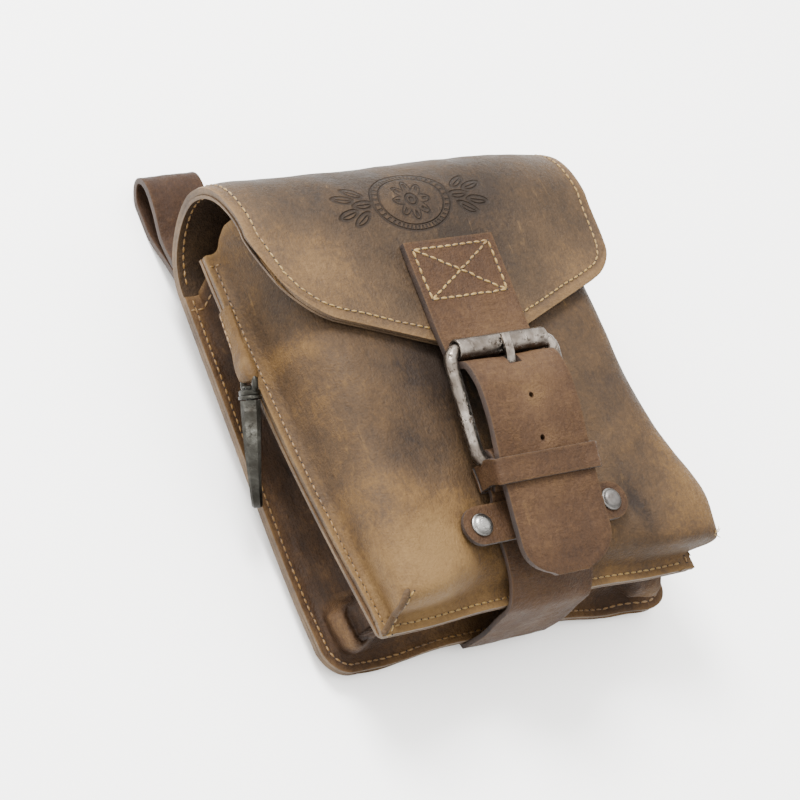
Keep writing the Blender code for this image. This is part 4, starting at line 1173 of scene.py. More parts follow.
def laid_on(tree, line):
    """The nearest places on a piece to a line's points, and their normals."""
    found = [tree.find_nearest(point)[:2] for point in line]
    return [spot for spot, normal in found], [normal for spot, normal in found]


def join_solid(piece, other, operation="UNION"):
    apply_step(piece, "BOOLEAN", operation=operation, solver="EXACT", object=other)
    bpy.data.objects.remove(other)


def cut_with(piece, cutter):
    join_solid(piece, cutter, "DIFFERENCE")


# Sewing: one stitch with its needle hole is modelled once and copied along every seam

Seam = namedtuple("Seam", "tree line")


def first_stitch(thread):
    stitch = added(bpy.ops.mesh.primitive_uv_sphere_add, segments=8, ring_count=6, radius=0.5)
    stitch.name = "stitch"
    in_edit_mode(stitch, lambda: bpy.ops.transform.rotate(value=pi / 2, orient_axis="Y",
                                                          center_override=(0, 0, 0)))
    points = points_of(stitch)
    along = points[:, 0] * 2
    fuller = 1 + 0.3 * np.cos(along * pi / 2) ** 2
    points[:, 1] *= fuller
    points[:, 2] = points[:, 2] * fuller - 0.30 * along ** 4
    move_points(stitch, points)
    stitch.data.materials.append(thread)
    # A dark sphere sunk at the stitch's end stands for its needle hole: painted shade.
    hole = added(bpy.ops.mesh.primitive_uv_sphere_add, segments=8, ring_count=4, radius=0.5,
                 location=(0.56, 0, -0.10))
    hole.data.materials.append(looks["hole"])
    hole.scale = (0.26, 1.05, 0.6)
    bpy.ops.object.transform_apply(location=True, rotation=False, scale=True)
    stitch.select_set(True)
    bpy.context.view_layer.objects.active = stitch
    bpy.ops.object.join()
    return stitch


def sew(name, thread, seams, pitch=3.3 * mm, gap_between=0.45 * mm, width=0.72 * mm, height=0.62 * mm,
        seed=1, lift=0.08 * mm):
    """Stitches along seams: each seam's line is laid on its tree's faces."""
    model = first_stitch(thread)
    draw = np.random.default_rng(seed)
    copies = []
    for seam in seams:
        spots, normals = laid_on(seam.tree, seam.line)
        lengths = summed_lengths(spots)
        count = max(1, round(lengths[-1] / pitch))
        step_length = lengths[-1] / count
        for step in range(count):
            index, share = span_at(lengths, step_length * (step + 0.5))
            spot = spots[index].lerp(spots[index + 1], share)
            normal = normals[index].lerp(normals[index + 1], share).normalized()
            run = spots[index + 1] - spots[index]
            run = (run - normal * run.dot(normal)).normalized()
            run = (run + normal.cross(run) * draw.normal(0, 0.06)).normalized()
            side = normal.cross(run)
            size = (step_length - gap_between) * draw.normal(1.0, 0.03)
            thick = height * draw.normal(1.0, 0.06)
            turn = Matrix((run * size, side * width, normal * thick)).transposed().to_4x4()
            copy = model.copy()
            copy.data = model.data.copy()
            copy.data.transform(Matrix.Translation(spot + normal * lift) @ turn)
            bpy.context.scene.collection.objects.link(copy)
            copies.append(copy)
    bpy.data.objects.remove(model)
    clear_selection()
    for copy in copies:
        copy.select_set(True)
    bpy.context.view_layer.objects.active = copies[0]
    bpy.ops.object.join()
    piece = bpy.context.active_object
    piece.name = name
    finish_piece(piece)


# The finishes of this bag

body_brown = Hide(paper(80, 64, 52), paper(140, 110, 80), paper(178, 138, 92), paper(216, 172, 116))
flap_brown = Hide(paper(84, 68, 54), paper(140, 112, 84), paper(178, 140, 98), paper(216, 174, 124))
inner_brown = Hide(paper(56, 42, 32), paper(92, 70, 50), paper(118, 92, 66), paper(150, 118, 84))
gusset_brown = Hide(paper(62, 42, 29), paper(108, 78, 53), paper(140, 104, 70), paper(184, 142, 96))
strap_brown = Hide(paper(76, 52, 38), paper(131, 96, 68), paper(156, 118, 84), paper(190, 148, 102))
loop_brown = Hide(paper(58, 38, 28), paper(102, 72, 52), paper(126, 92, 66), paper(158, 120, 86))
tab_brown = Hide(paper(112, 82, 52), paper(160, 122, 76), paper(184, 144, 94), paper(206, 168, 116))

looks = {
    "body": waxed_leather("body_hide", body_brown),
    "flap": waxed_leather("flap_hide", flap_brown, stamped=True, shift=0.31, clouds=0.8),
    "lining": waxed_leather("lining_hide", inner_brown, grain=1.6, shift=0.17, rough=0.75),
    "gusset": waxed_leather("gusset_hide", gusset_brown, shift=0.53, creases_and_shade=0.6),
    "strap": waxed_leather("strap_hide", strap_brown, grain=1.25, shift=0.71, clouds=1.0, cracks=0.30,
                           worn=0.35),
    "loop": waxed_leather("loop_hide", loop_brown, shift=0.9, clouds=0.6, cracks=0.25, worn=0.3),
    "tab": waxed_leather("tab_hide", tab_brown, shift=0.4, clouds=0.5),
    "edge": raw_edge("cut_edge", paper(104, 76, 50), paper(186, 146, 98)),
    "strap_edge": raw_edge("strap_cut_edge", paper(60, 40, 30), paper(116, 82, 58)),
    "thread": waxed_thread("yellow_thread", paper(250, 200, 110), paper(176, 126, 60)),
    # A darker copy of the yellow thread, sewn on the lining, tab, side and back seams: partly wax on the
    # thread, partly painted shade of seams that lie in shade.
    "waxed_painted_shade_thread": waxed_thread("thread_waxed_with_painted_shade", paper(214, 160, 84), paper(116, 78, 40)),
    "hole": needle_hole("needle_hole_shade"),
    "nickel": aged_metal("antique_nickel", (0.250, 0.222, 0.195), (0.105, 0.089, 0.075),
                         (0.027, 0.018, 0.012), rough=0.26),
    "rivet": aged_metal("rivet_nickel", (0.215, 0.21, 0.20), (0.12, 0.115, 0.11), (0.04, 0.032, 0.028),
                        rough=0.28, shift=0.5, spots=0.5),
    "steel": aged_metal("dark_steel", (0.050, 0.049, 0.043), (0.022, 0.021, 0.018), (0.010, 0.008, 0.006),
                        rough=0.36, shift=0.2, spots=0.5),
}


# Body hide: back panel, fold and flap

flap_inset = 4.6 * mm
rim_inset = 3.2 * mm

# The medallion's centre, in millimetres from the middle of the fold's front end
medallion_across = -7.5
medallion_up = 4.8


def body_relief(sheet):
    raised = swells(sheet.points, (0.45, 55, 3), (0.12, 15, 5)) * calm(sheet.edge, 16 * mm)
    seam = np.where(sheet.along > 1, flap_inset, rim_inset)
    raised -= 0.35 * mm * bell(sheet.edge, seam, 0.9 * mm)
    raised += 0.20 * mm * bell(sheet.edge, 2.0 * mm, 1.4 * mm)
    return raised


def body_tone(sheet):
    spots = patches(sheet.points, (
        (-66, 165, 22, 0.9), (-60, 145, 18, 0.9), (0, 158, 30, -0.7), (46, 170, 34, -1.1),
        (58, 138, 12, 1.0), (-10, 190, 60, -1.0), (-50, 194, 24, -0.8)))
    return np.where(sheet.along > 1.4, spots, 0) + 0.9 * bell(sheet.edge, 0, 7 * mm)


def body_flat(sheet):
    """Places on the flap in millimetres from the medallion's centre: across, and up over the fold."""
    round_fold = (2 - np.minimum(sheet.along, 2)) * pi * fold_radius
    up = np.where(sheet.along > 2, sheet.points[:, 1] - back_height, round_fold)
    return np.stack([sheet.x - medallion_across, up / mm - medallion_up, 0 * up], axis=1)


def inset_line(place, line, inset):
    """A line on a hide, a little inside the hide's own edge. line holds (edge place, inner place) pairs."""
    points = [place(*outer) for outer, inner in line]
    found = []
    for index, (outer, inner) in enumerate(line):
        run = run_at(points, index).normalized()
        inwards = place(*inner) - points[index]
        inwards = (inwards - run * inwards.dot(run)).normalized()
        outwards = (place(*inner) - lining_face(*inner)).normalized()
        found.append(points[index] + inwards * inset + outwards * 2 * mm)
    return found


def flap_edge(start=1.0):
    """Round the flap from its left side over its point to its right side."""
    line = [((-1, along), (-0.94, along)) for along in even(120, start, 2.985)]
    line += [((side, 3.0), (0.94 * side, 2.9)) for side in even(110, -0.985, 0.985)]
    return line + [((1, along), (0.94, along)) for along in even(120, 2.985, start)]


def make_body():
    low = [back_corner_radius * (1 - cos(turn)) / back_height for turn in even(14, 0, pi / 2)]
    rows = low + spread((low[-1], 1.0, 56), (1.0, 2.0, 60), (2.0, 3.0, 48))[1:]
    end = [1 - flap_corner_radius * (1 - cos(turn)) * 2 / flap_corner_width for turn in even(10, 0, pi / 2)]
    columns = [-side for side in end] + spread((-end[-1], end[-1], 112))[1:-1] + end[::-1]
    body = sheet_piece("body_hide", columns, rows, body_leather, leather, (looks["flap"], looks["edge"]),
                       body_relief, body_tone, flip=True, rim=0.5 * mm, flat=body_flat)
    seam = Seam(surface_tree(body), inset_line(body_leather, flap_edge(1.12), flap_inset))
    finish_piece(body, ("back_and_flap",))
    return seam


def make_lining():
    rows = spread((0.975, 2.0, 42), (2.0, 3.0, 30))
    end = [1 - 0.15 * (1 - cos(turn)) for turn in even(10, 0, pi / 2)]
    columns = [-side for side in end] + spread((-end[-1], end[-1], 50))[1:-1] + end[::-1]
    lining = sheet_piece("flap_lining_hide", columns, rows, lining_face, lining_leather,
                         (looks["lining"], looks["edge"]), flip=True, rim=0.2 * mm)
    tree = surface_tree(lining)
    seams = []
    for side in (-1, 1):
        line = [lining_face(side, along) + fold_inwards(along) * 3 * mm - sideways * side * rim_inset
                for along in even(60, 1.04, 1.9)]
        seams.append(Seam(tree, line))
    finish_piece(lining, ("flap_lining",))
    return seams


# Front panel

def beside_rivet(sheet):
    """The creased part of the front to the right of the right rivet, and the valley in it, which is also
    painted dark as shade.
    """
    creased = bell(sheet.x, 50, 11) * bell(sheet.y, 33, 15)
    return creased, bell(sheet.x - 0.25 * (36 - sheet.y), 46, 4.5) * bell(sheet.y, 33, 13)


def front_relief(sheet):
    swell = swells(sheet.points, (0.55, 48, 21), (0.12, 12, 22))
    under_flap = 1 - ramp_down(sheet.y, 112, 145)
    right_side = ramp_down(-sheet.x, -78, -58) * bell(sheet.y, 58, 32)
    raised = (swell + 1.2 * mm * right_side) * calm(sheet.edge, 16 * mm)
    raised = mix(raised, -0.7 * mm * calm(sheet.edge, 16 * mm), under_flap)
    creased, valley = beside_rivet(sheet)
    creases = swells(sheet.points, (0.24, 5, 23, (0.45, 2.2, 1)), (0.14, 3, 24, (0.5, 1.6, 1)))
    raised += (creases * creased - 0.55 * mm * valley) * calm(sheet.edge, 9 * mm)
    raised -= 0.30 * mm * bell(sheet.edge, rim_inset, 0.9 * mm)
    raised += 0.12 * mm * bell(sheet.edge, 1.4 * mm, 1.2 * mm)
    return raised


def front_tone_and_shadow(sheet):
    # Spots at (-38, 108), (-8, 96) and (-62, 120) darken the front just under the flap's edge: painted
    # shadow of the flap. The last term paints the valley beside the right rivet dark: painted shade in the
    # crease.
    spots = patches(sheet.points, (
        (-38, 108, 20, -1.4), (-8, 96, 20, -1.4), (-62, 120, 14, -0.6), (-77, 126, 6, 1.6),
        (-46, 38, 20, 1.3), (-60, 20, 19, 2.6), (-26, 20, 18, 1.2), (-30, 72, 14, -0.5), (44, 96, 26, -0.7),
        (66, 70, 20, -0.2), (52, 42, 14, -1.2), (64, 20, 16, 0.5), (-66, 66, 12, 0.6)))
    return spots + 0.8 * bell(sheet.edge, 0, 6 * mm) - 1.5 * beside_rivet(sheet)[1]


def make_front():
    columns = spread((-2.0, -1.0, 36), (-1.0, 1.0, 112), (1.0, 2.0, 36))
    rows = spread((-1.0, 0.0, 36), (0.0, 1.0, 112))
    front = sheet_piece("front_panel_hide", columns, rows, front_panel, leather,
                        (looks["body"], looks["edge"]), front_relief, front_tone_and_shadow, passes=26)
    tree = surface_tree(front)

    def flange(share, side, inset=rim_inset):
        point, inwards = front_rim(share)
        point = point + inwards * inset
        return Vector((side * point.x, point.y, side_depth(point.y) + 1 * mm))

    sides = []
    for side in (-1, 1):
        sides.append(Seam(tree, [flange(share, side) for share in even(140, 0.016, 0.60)]))
        sides.append(Seam(tree, [flange(0.016, side, inset) for inset in even(4, 0.6 * mm, 6.0 * mm)]))
    low = [flange(share, -1) for share in even(60, 0.715, 1.0)]
    low += [flange(share, 1) for share in even(60, 1.0, 0.715)[1:]]
    finish_piece(front, ("front_panel",))
    return sides, Seam(tree, low), tree


# Gusset: at its bottom left corner it rolls out beside the back seam and sinks in behind the roll

left_pleat = table("station depth rise",
    (0, 0.00, 0.00), (1, 0.02, 0.03), (2, -0.14, 0.24),
    (3, -0.12, 0.44), (4, 0.12, 0.46), (5, 0.14, 0.70),
    (6, 0.00, 0.98), (7, 0.00, 1.00))
right_pleat = table("station depth rise",
    (0, 0.00, 0.00), (1, 0.00, 0.02), (2, 0.02, 0.12),
    (3, -0.26, 0.20), (4, -0.24, 0.40), (5, 0.10, 0.66),
    (6, 0.00, 0.98), (7, 0.00, 1.00))

# Where along the gusset a pleat comes up and dies out, each with the length of its change
left_span = (0.505, 0.04, 0.69, 0.07)
right_span = (0.66, 0.03, 0.735, 0.03)


def pleated_gusset(along, station):
    """The gusset at a station between two rows of its table, with its pleated corners."""
    share = 1 - abs(along)
    low = int(min(station, len(gusset_stations) - 2))
    pleat, span = (left_pleat, left_span) if along < 0 else (right_pleat, right_span)
    start, rising, end, falling = span
    corner = smooth((share - start) / rising) * (1 - smooth((share - end) / falling))
    plain = read(gusset_folds, "depth", share)
    if share >= 0.1:
        plain = max(plain, least_gusset_fold)
    t = station - low
    weights = (-0.5 * t + t ** 2 - 0.5 * t ** 3, 1 - 2.5 * t ** 2 + 1.5 * t ** 3,
               0.5 * t + 2 * t ** 2 - 1.5 * t ** 3, -0.5 * t ** 2 + 0.5 * t ** 3)
    seam = depth = rise = 0.0
    for weight, index in zip(weights, range(low - 1, low + 3)):
        index = min(max(index, 0), len(gusset_stations) - 1)
        row = gusset_stations[index]
        seam += weight * row.seam
        depth += weight * mix(row.fold * plain, pleat[index].depth, corner)
        rise += weight * mix(row.rise, pleat[index].rise, corner)
    back_point, back_inwards = back_rim(share)
    front_point, front_inwards = front_rim(share)
    back_point.z = leather + easy_gap + gusset_leather + corner_lift(back_point.x, back_point.y)
    front_point.z = side_depth(front_point.y) - leather - gap - gusset_leather
    inwards = back_inwards.lerp(front_inwards, clamp(rise)).normalized()
    point = back_point.lerp(front_point, rise) + inwards * (seam_width * seam + gusset_fold * depth)
    if along < 0:
        point.x = -point.x
    return point


def gusset_relief(sheet):
    share = 1 - np.abs(sheet.across)
    raised = swells(sheet.points, (0.30, 17, 31, (1, 1, 3)), (0.12, 6, 32, (1, 1, 3)))
    hollow = bell(share, 0.62, 0.06) * bell(sheet.along, 4.3, 0.9) * (sheet.across < 0)
    raised += 0.40 * mm * hollow * np.cos(share * 300 + 1.3 * sheet.along + waves(sheet.points, 9 * mm, 33))
    return raised * np.clip((np.minimum(sheet.along, 7 - sheet.along) - 0.6) / 1.2, 0, 1)


def gusset_tone_light_and_shade(sheet):
    # Painted light and shade on the gusset: the left corner's roll is lighter and the hollow behind it
    # darker, the deep middle of the inward fold is darker, and the bottom, which lies in the front panel's
    # shadow, is painted lighter. The right pleat's lobe and the side by the back seam are lighter too.
    share = 1 - np.abs(sheet.across)
    left = (sheet.across < 0) * (share > 0.5)
    roll = bell(share, 0.60, 0.09) * bell(sheet.along, 2.5, 0.8) * left
    hollow = bell(share, 0.63, 0.08) * bell(sheet.along, 4.4, 0.7) * left
    lobe = bell(share, 0.705, 0.035) * bell(sheet.along, 3.3, 1.2) * (sheet.across > 0)
    under = np.clip((share - 0.76) / 0.05, 0, 1)
    seam_side = np.clip(1 - sheet.along, 0, 1)
    return (2.6 * roll - 1.4 * hollow + 2.4 * lobe + 1.3 * under - 0.7 * bell(sheet.along, 3.5, 1.6)
            + 0.8 * seam_side)


def make_gusset():
    half = spread((0.0, 0.50, 54), (0.50, 0.78, 90), (0.78, 1.0, 22))
    columns = [share - 1 for share in half] + [1 - share for share in reversed(half[:-1])]
    rows = spread((0.0, 1.0, 5), (1.0, 6.0, 44), (6.0, 7.0, 4))
    piece = sheet_piece("gusset_hide", columns, rows, pleated_gusset, gusset_leather,
                        (looks["gusset"], looks["edge"]), gusset_relief, gusset_tone_light_and_shade, rim=0.25 * mm)
    tree = surface_tree(piece)

    def back_seam(share, side):
        point, inwards = back_rim(share)
        point = point + inwards * rim_inset
        return Vector((side * point.x, point.y, 7 * mm + corner_lift(point.x, point.y)))

    line = [back_seam(share, -1) for share in even(200, 0.005, 1.0)]
    line += [back_seam(share, 1) for share in even(200, 1.0, 0.005)[1:]]
    seams = [Seam(tree, line)]
    for side in (-1, 1):
        line = [pleated_gusset(side * 0.978, station) for station in spread((0.1, 6.6, 60))]
        seams.append(Seam(tree, line))
    finish_piece(piece, ("gusset",))
    return seams


# Straps

def strap_relief(seed, bends=()):
    """Swells of a worn strap, with cross wrinkles near its bends: each is (y, reach, depth)."""
    def relief(sheet):
        raised = swells(sheet.points, (0.20, 24, seed), (0.07, 7, seed + 1))
        for y, reach, depth in bends:
            lines = np.cos(sheet.y * 2.6 + 1.2 * waves(sheet.points, 14 * mm, seed + 2))
            raised += depth * mm * bell(sheet.y, y, reach) * lines
        return raised * calm(sheet.edge, 2.5 * mm)
    return relief


def strap_tone(rows):
    def tone(sheet):
        return patches(sheet.points, rows) - 0.5 * bell(sheet.edge, 0, 2.5 * mm)
    return tone


def block_cutter(low, high):
    cutter = added(bpy.ops.mesh.primitive_cube_add, size=1.0)
    points = points_of(cutter) + 0.5
    move_points(cutter, np.array(low) + points * (np.array(high) - np.array(low)))
    cutter.data.materials.append(looks["strap_edge"])
    return cutter


sewn_box_low = 25.0 * mm
sewn_box_high = 47.6 * mm
sewn_box_half_width = 19.0 * mm


def make_flap_strap():
    line = finer(flap_strap_line(), strap_spacing)
    tip = line[-1].x

    def half_width(row):
        before_tip = clamp((line[row].x - tip) / tongue_tip_length)
        return half_strap * max(0.34, (1 - (1 - before_tip) ** 2.5) ** 0.48)

    relief = strap_relief(41, ((117, 7, 0.16), (93, 7, 0.10)))
    tone = strap_tone(((0, 88, 16, 0.9), (0, 80, 5, 1.0), (3, 62, 5, 1.0), (0, 46, 22, 0.95),
                       (0, 150, 14, -0.3), (-6, 22, 12, -0.2)))
    strap = strap_piece("flap_strap_hide", line, half_width, strap_leather,
                        (looks["strap"], looks["strap_edge"]), across=36, flip=True, wear=0.5 * mm,
                        relief=relief, tone=tone)
    rise_start = roller_axis.y - roller_reach
    for place in (0, 1):
        y = rise_start - tongue_hole_start - tongue_hole_pitch * place
        hole = added(bpy.ops.mesh.primitive_cylinder_add, vertices=20, radius=tongue_hole_radius,
                     depth=12 * mm, location=(0, y, height_on(line, y)))
        bpy.ops.object.transform_apply()
        # The holes' walls take the dark hole finish: painted shade inside the holes.
        hole.data.materials.append(looks["hole"])
        cut_with(strap, hole)
    half_slot = prong_width / 2 + prong_slot_room
    cut_with(strap, block_cutter((-half_slot, rise_start - 0.62 * prong_slot_length, roller_axis.z),
                                 (half_slot, rise_start + gap, roller_axis.z + 2 * tongue_lift)))
    tree = surface_tree(strap)
    low = roller_axis.y + sewn_box_low
    high = roller_axis.y + sewn_box_high
    side = sewn_box_half_width
    above = 2 * fold_radius + 8 * mm

    def run(start, finish):
        return Seam(tree, [Vector((mix(start[0], finish[0], share), mix(start[1], finish[1], share), above))
                           for share in even(24)])

    corners = [(-side, high), (side, high), (side, low), (-side, low)]
    box = [run(first, second) for first, second in zip(corners, corners[1:] + corners[:1])]
    box += [run(corners[0], corners[2]), run(corners[3], corners[1])]
    finish_piece(strap, ("flap_strap",))
    return box


def make_lower_strap():
    line = finer(lower_strap_line(), strap_spacing)
    drawn_in = [1.9 * mm * smooth((36 * mm - point.x) / (26 * mm)) for point in line]
    relief = strap_relief(51, ((10, 7, 0.10),))
    tone = strap_tone(((0, 10, 14, 0.4), (-8, 34, 12, -0.4), (8, 0, 10, 0.5)))
    strap = strap_piece("lower_strap_hide", line, lambda row: half_strap - drawn_in[row],
                        lower_strap_leather, (looks["strap"], looks["strap_edge"]),
                        middle=lambda row: 1.1 * drawn_in[row], across=30, wear=0.5 * mm, relief=relief,
                        tone=tone)
    half_slot = prong_width / 2 + prong_root_room
    reach = Vector((half_slot, prong_root_length / 2, prong_root_height / 2))
    cut_with(strap, block_cutter(bottom_bar - reach, bottom_bar + reach))
    finish_piece(strap, ("lower_strap",))


def even_ring(ring, spacing):
    """Where to place points round a closed ring, as (index, share) pairs, so that they lie evenly."""
    found = []
    for index, point in enumerate(ring):
        other = ring[(index + 1) % len(ring)]
        count = max(1, round(sqrt((other[0] - point[0]) ** 2 + (other[1] - point[1]) ** 2) / spacing))
        found += [(index, step / count) for step in range(count)]
    return found


def make_keeper():
    """Leather loop round both straps: its top run lies along the tongue, and its ends butt underneath."""
    line = flap_strap_line()
    low_y = bottom_bar.y - keeper_place - gap

    def ring_at(share):
        top_y = low_y + keeper_width * share
        high = height_on(line, top_y) + gap + trim_leather
        ring = rounded_rectangle(keeper_half_span - 2.4 * mm, keeper_bottom, high, keeper_corner_radius, 5)
        return ring[12:] + ring[:12], top_y, high

    spots = even_ring(ring_at(0.5)[0], 1.1 * mm)

    def place(share, index):
        ring, top_y, high = ring_at(share)
        corner, part = spots[min(index, len(spots) - 1)]
        x, z = (mix(a, b, part) for a, b in zip(ring[corner], ring[(corner + 1) % len(ring)]))
        return Vector((x, top_y + keeper_lean * smooth((high - z) / (8 * mm)), z))

    def relief(sheet):
        crease = 0.35 * mm * bell(sheet.x, 16, 1.2) * (sheet.points[:, 2] > keeper_crease_height)
        return swells(sheet.points, (0.10, 12, 71)) - crease

    keeper = sheet_piece("keeper_hide", even(9), list(range(len(spots))), place, trim_leather,
                         (looks["strap"], looks["strap_edge"]), relief, wear=0.7 * mm,
                         tone=strap_tone(((0, 54, 30, 0.5),)))
    finish_piece(keeper, ("keeper_loop",))


def make_band():
    radius = band_width / 2
    reach = band_length / 2 - radius
    end = [reach + radius * sin(turn) for turn in even(12, 0, pi / 2)]
    xs = [-x for x in reversed(end)] + even(40, -reach, reach)[1:-1] + end

    def place(across, x):
        past = max(0.0, abs(x) - reach)
        half = max(0.25 * mm, sqrt(max(0.0, radius ** 2 - past ** 2)))
        return Vector((x, band_place + across * half, band_bottom + trim_leather))

    def relief(sheet):
        return swells(sheet.points, (0.12, 13, 75)) * calm(sheet.edge, 2 * mm)

    band = sheet_piece("cross_band_hide", even(14, -1.0), xs, place, trim_leather,
                       (looks["strap"], looks["strap_edge"]), relief, flip=True, wear=0.8 * mm,
                       tone=strap_tone(((0, 36, 60, -0.2),)))
    finish_piece(band, ("cross_band",))


def make_rivets():
    """Domed heads that sit on the band, each leaning a little."""
    profile = [(rivet_radius * out, rivet_height * up) for out, up in rivet_dome]
    for name, sign in (("left", -1), ("right", 1)):
        foot = Vector((sign * rivet_spacing / 2, band_place, band_bottom + trim_leather + gap))
        lean = Vector((0.02 * sign, 0.03, 1))
        dome = spun("rivet_%s_head" % name, profile, foot, lean, 32, looks["rivet"])
        finish_piece(dome, ("rivet_%s" % name,), angle=60)


def make_loops():
    for name, sign, reach in (("left", -1, left_loop_reach), ("right", 1, right_loop_reach)):
        line = []
        for point in loop_line(reach):
            floor = (ground - point.x * sin(rest_angle)) / cos(rest_angle)
            line.append(Vector((point.x, max(point.y, floor))))
        line = finer(line, strap_spacing)
        middle = sign * (back_width_bottom / 2 - loop_width / 2)
        loop = strap_piece("belt_loop_%s_hide" % name, line, lambda row: loop_width / 2, loop_leather,
                           (looks["loop"], looks["strap_edge"]), middle=lambda row: middle, across=18,
                           relief=strap_relief(61 + sign))
        finish_piece(loop, ("belt_loop_%s" % name,))


# Buckle

def bent_rod(name, corners, spacing, origin, ways, radius, steps, look):
    """A round rod bent to a closed flat ring. ways are across and up in its plane, and off its plane."""
    across, up, normal = ways
    path = []
    for index, share in even_ring(corners, spacing):
        first, second = corners[index], corners[(index + 1) % len(corners)]
        path.append(origin + across * mix(first[0], second[0], share) + up * mix(first[1], second[1], share))
    rings = []
    for index, point in enumerate(path):
        run = (path[(index + 1) % len(path)] - path[index - 1]).normalized()
        away = run.cross(normal)
        rings.append([point + (away * cos(turn) + normal * sin(turn)) * radius for turn in turns(steps)])
    return lofted(name, rings, look, looped=True)


def make_frame_rod():
    """The buckle's round-rod frame, whose lower bar lies in the lower strap."""
    reach = (roller_axis - bottom_bar).length
    normal = sideways.cross(buckle_up)
    corners = rounded_rectangle(buckle_width / 2, 0.0, reach, 5.4 * mm, 10)
    rod = bent_rod("buckle_frame_rod", corners, 1.1 * mm, bottom_bar, (sideways, buckle_up, normal),
                   rod_radius, 22, looks["nickel"])
    roughened(rod, 0.035 * mm, 5 * mm, 81)
    finish_piece(rod, ("buckle_frame",), angle=60)


def make_roller():
    """The tube that turns on the frame's upper bar."""
    inner = roller_radius - roller_wall
    half = roller_length / 2
    soft = metal_rounding
    profile = [(inner, -half + soft), (inner + soft, -half), (roller_radius - soft, -half),
               (roller_radius, -half + soft)]
    profile += [(roller_radius, x) for x in even(26, -half + 2 * soft, half - 2 * soft)]
    profile += [(roller_radius, half - soft), (roller_radius - soft, half), (inner + soft, half),
                (inner, half - soft), (inner, -half + soft)]
    tube = spun("roller_tube", profile, roller_axis, sideways, 48, looks["nickel"])
    roughened(tube, 0.03 * mm, 6 * mm, 82)
    finish_piece(tube, ("roller",), angle=50, body="buckle_tube")


prong_section = ((-1, -0.7), (-0.8, -1), (0.8, -1), (1, -0.7), (1, 0.3), (0.62, 1), (-0.62, 1), (-1, 0.3))


def make_prong():
    """A ring round the frame's lower bar, with a bar that lies over the roller."""
    soft = metal_rounding
    ring_inner = rod_radius + wrap_gap
    ring_outer = ring_inner + prong_thickness
    half = prong_width / 2
    profile = [(ring_inner, -half), (ring_outer - soft, -half), (ring_outer, -half + soft),
               (ring_outer, half - soft), (ring_outer - soft, half), (ring_inner, half), (ring_inner, -half)]
    root = spun("prong_root", profile, bottom_bar, sideways, 32, looks["nickel"])
    line = finer(prong_line(), 0.8 * mm)
    rings = []
    for index, point in enumerate(line):
        up = sideways.cross(run_at(line, index)).normalized()
        taper = mix(1.0, 0.80, index / (len(line) - 1))
        rings.append([point + sideways * half * taper * out + up * prong_thickness / 2 * rise
                      for out, rise in prong_section])
    prong = lofted("prong_bar", rings, looks["nickel"])
    join_solid(prong, root)
    finish_piece(prong, ("prong",), angle=35)


def prong_line():
    """Middle line of the prong, from its root ring under the tongue and out over the roller."""
    root = rod_radius + wrap_gap + prong_thickness / 2
    over = roller_radius + easy_gap + prong_thickness / 2
    low = ((-0.6 * mm, root - 0.05 * mm), (17.0 * mm, root + 1.1 * mm))
    high = ((-16.0 * mm, 1.6 * mm), (-11.0 * mm, 2.9 * mm), (-7.0 * mm, 4.7 * mm),
            (-3.2 * mm, over - 0.1 * mm), (prong_overhang, over))
    line = [bottom_bar + Vector((0, *place)) for place in low]
    return line + [roller_axis + Vector((0, *place)) for place in high]


# Snap hook, its eye, its gate and its tab

bar_section = ((-1, -0.62), (-0.62, -1), (0.62, -1), (1, -0.62), (1, 0.62), (0.62, 1), (-0.62, 1),
               (-1, 0.62))


def bar_rings(line):
    """Rings round a flat bar in the hook's plane: line holds (side, along, bar, thickness) places."""
    line = curve_through([Vector(row) for row in line], 5)
    rings = []
    for index, row in enumerate(line):
        run_side, run_along = run_at(line, index)[:2]
        length = sqrt(run_side ** 2 + run_along ** 2)
        rings.append([hook_place(row[0] + run_along / length * row[2] / 2 * out,
                                 row[1] - run_side / length * row[2] / 2 * out, row[3] / 2 * rise)
                      for out, rise in bar_section])
    return rings


def drum(name, radius, half, steps):
    """A plain round block on the gate's axis."""
    return spun(name, [(0, -half), (radius, -half), (radius, half), (0, half)], gate_pivot, pin_way, steps,
                looks["steel"])


half_ear = gate_thickness / 2 + ear_side


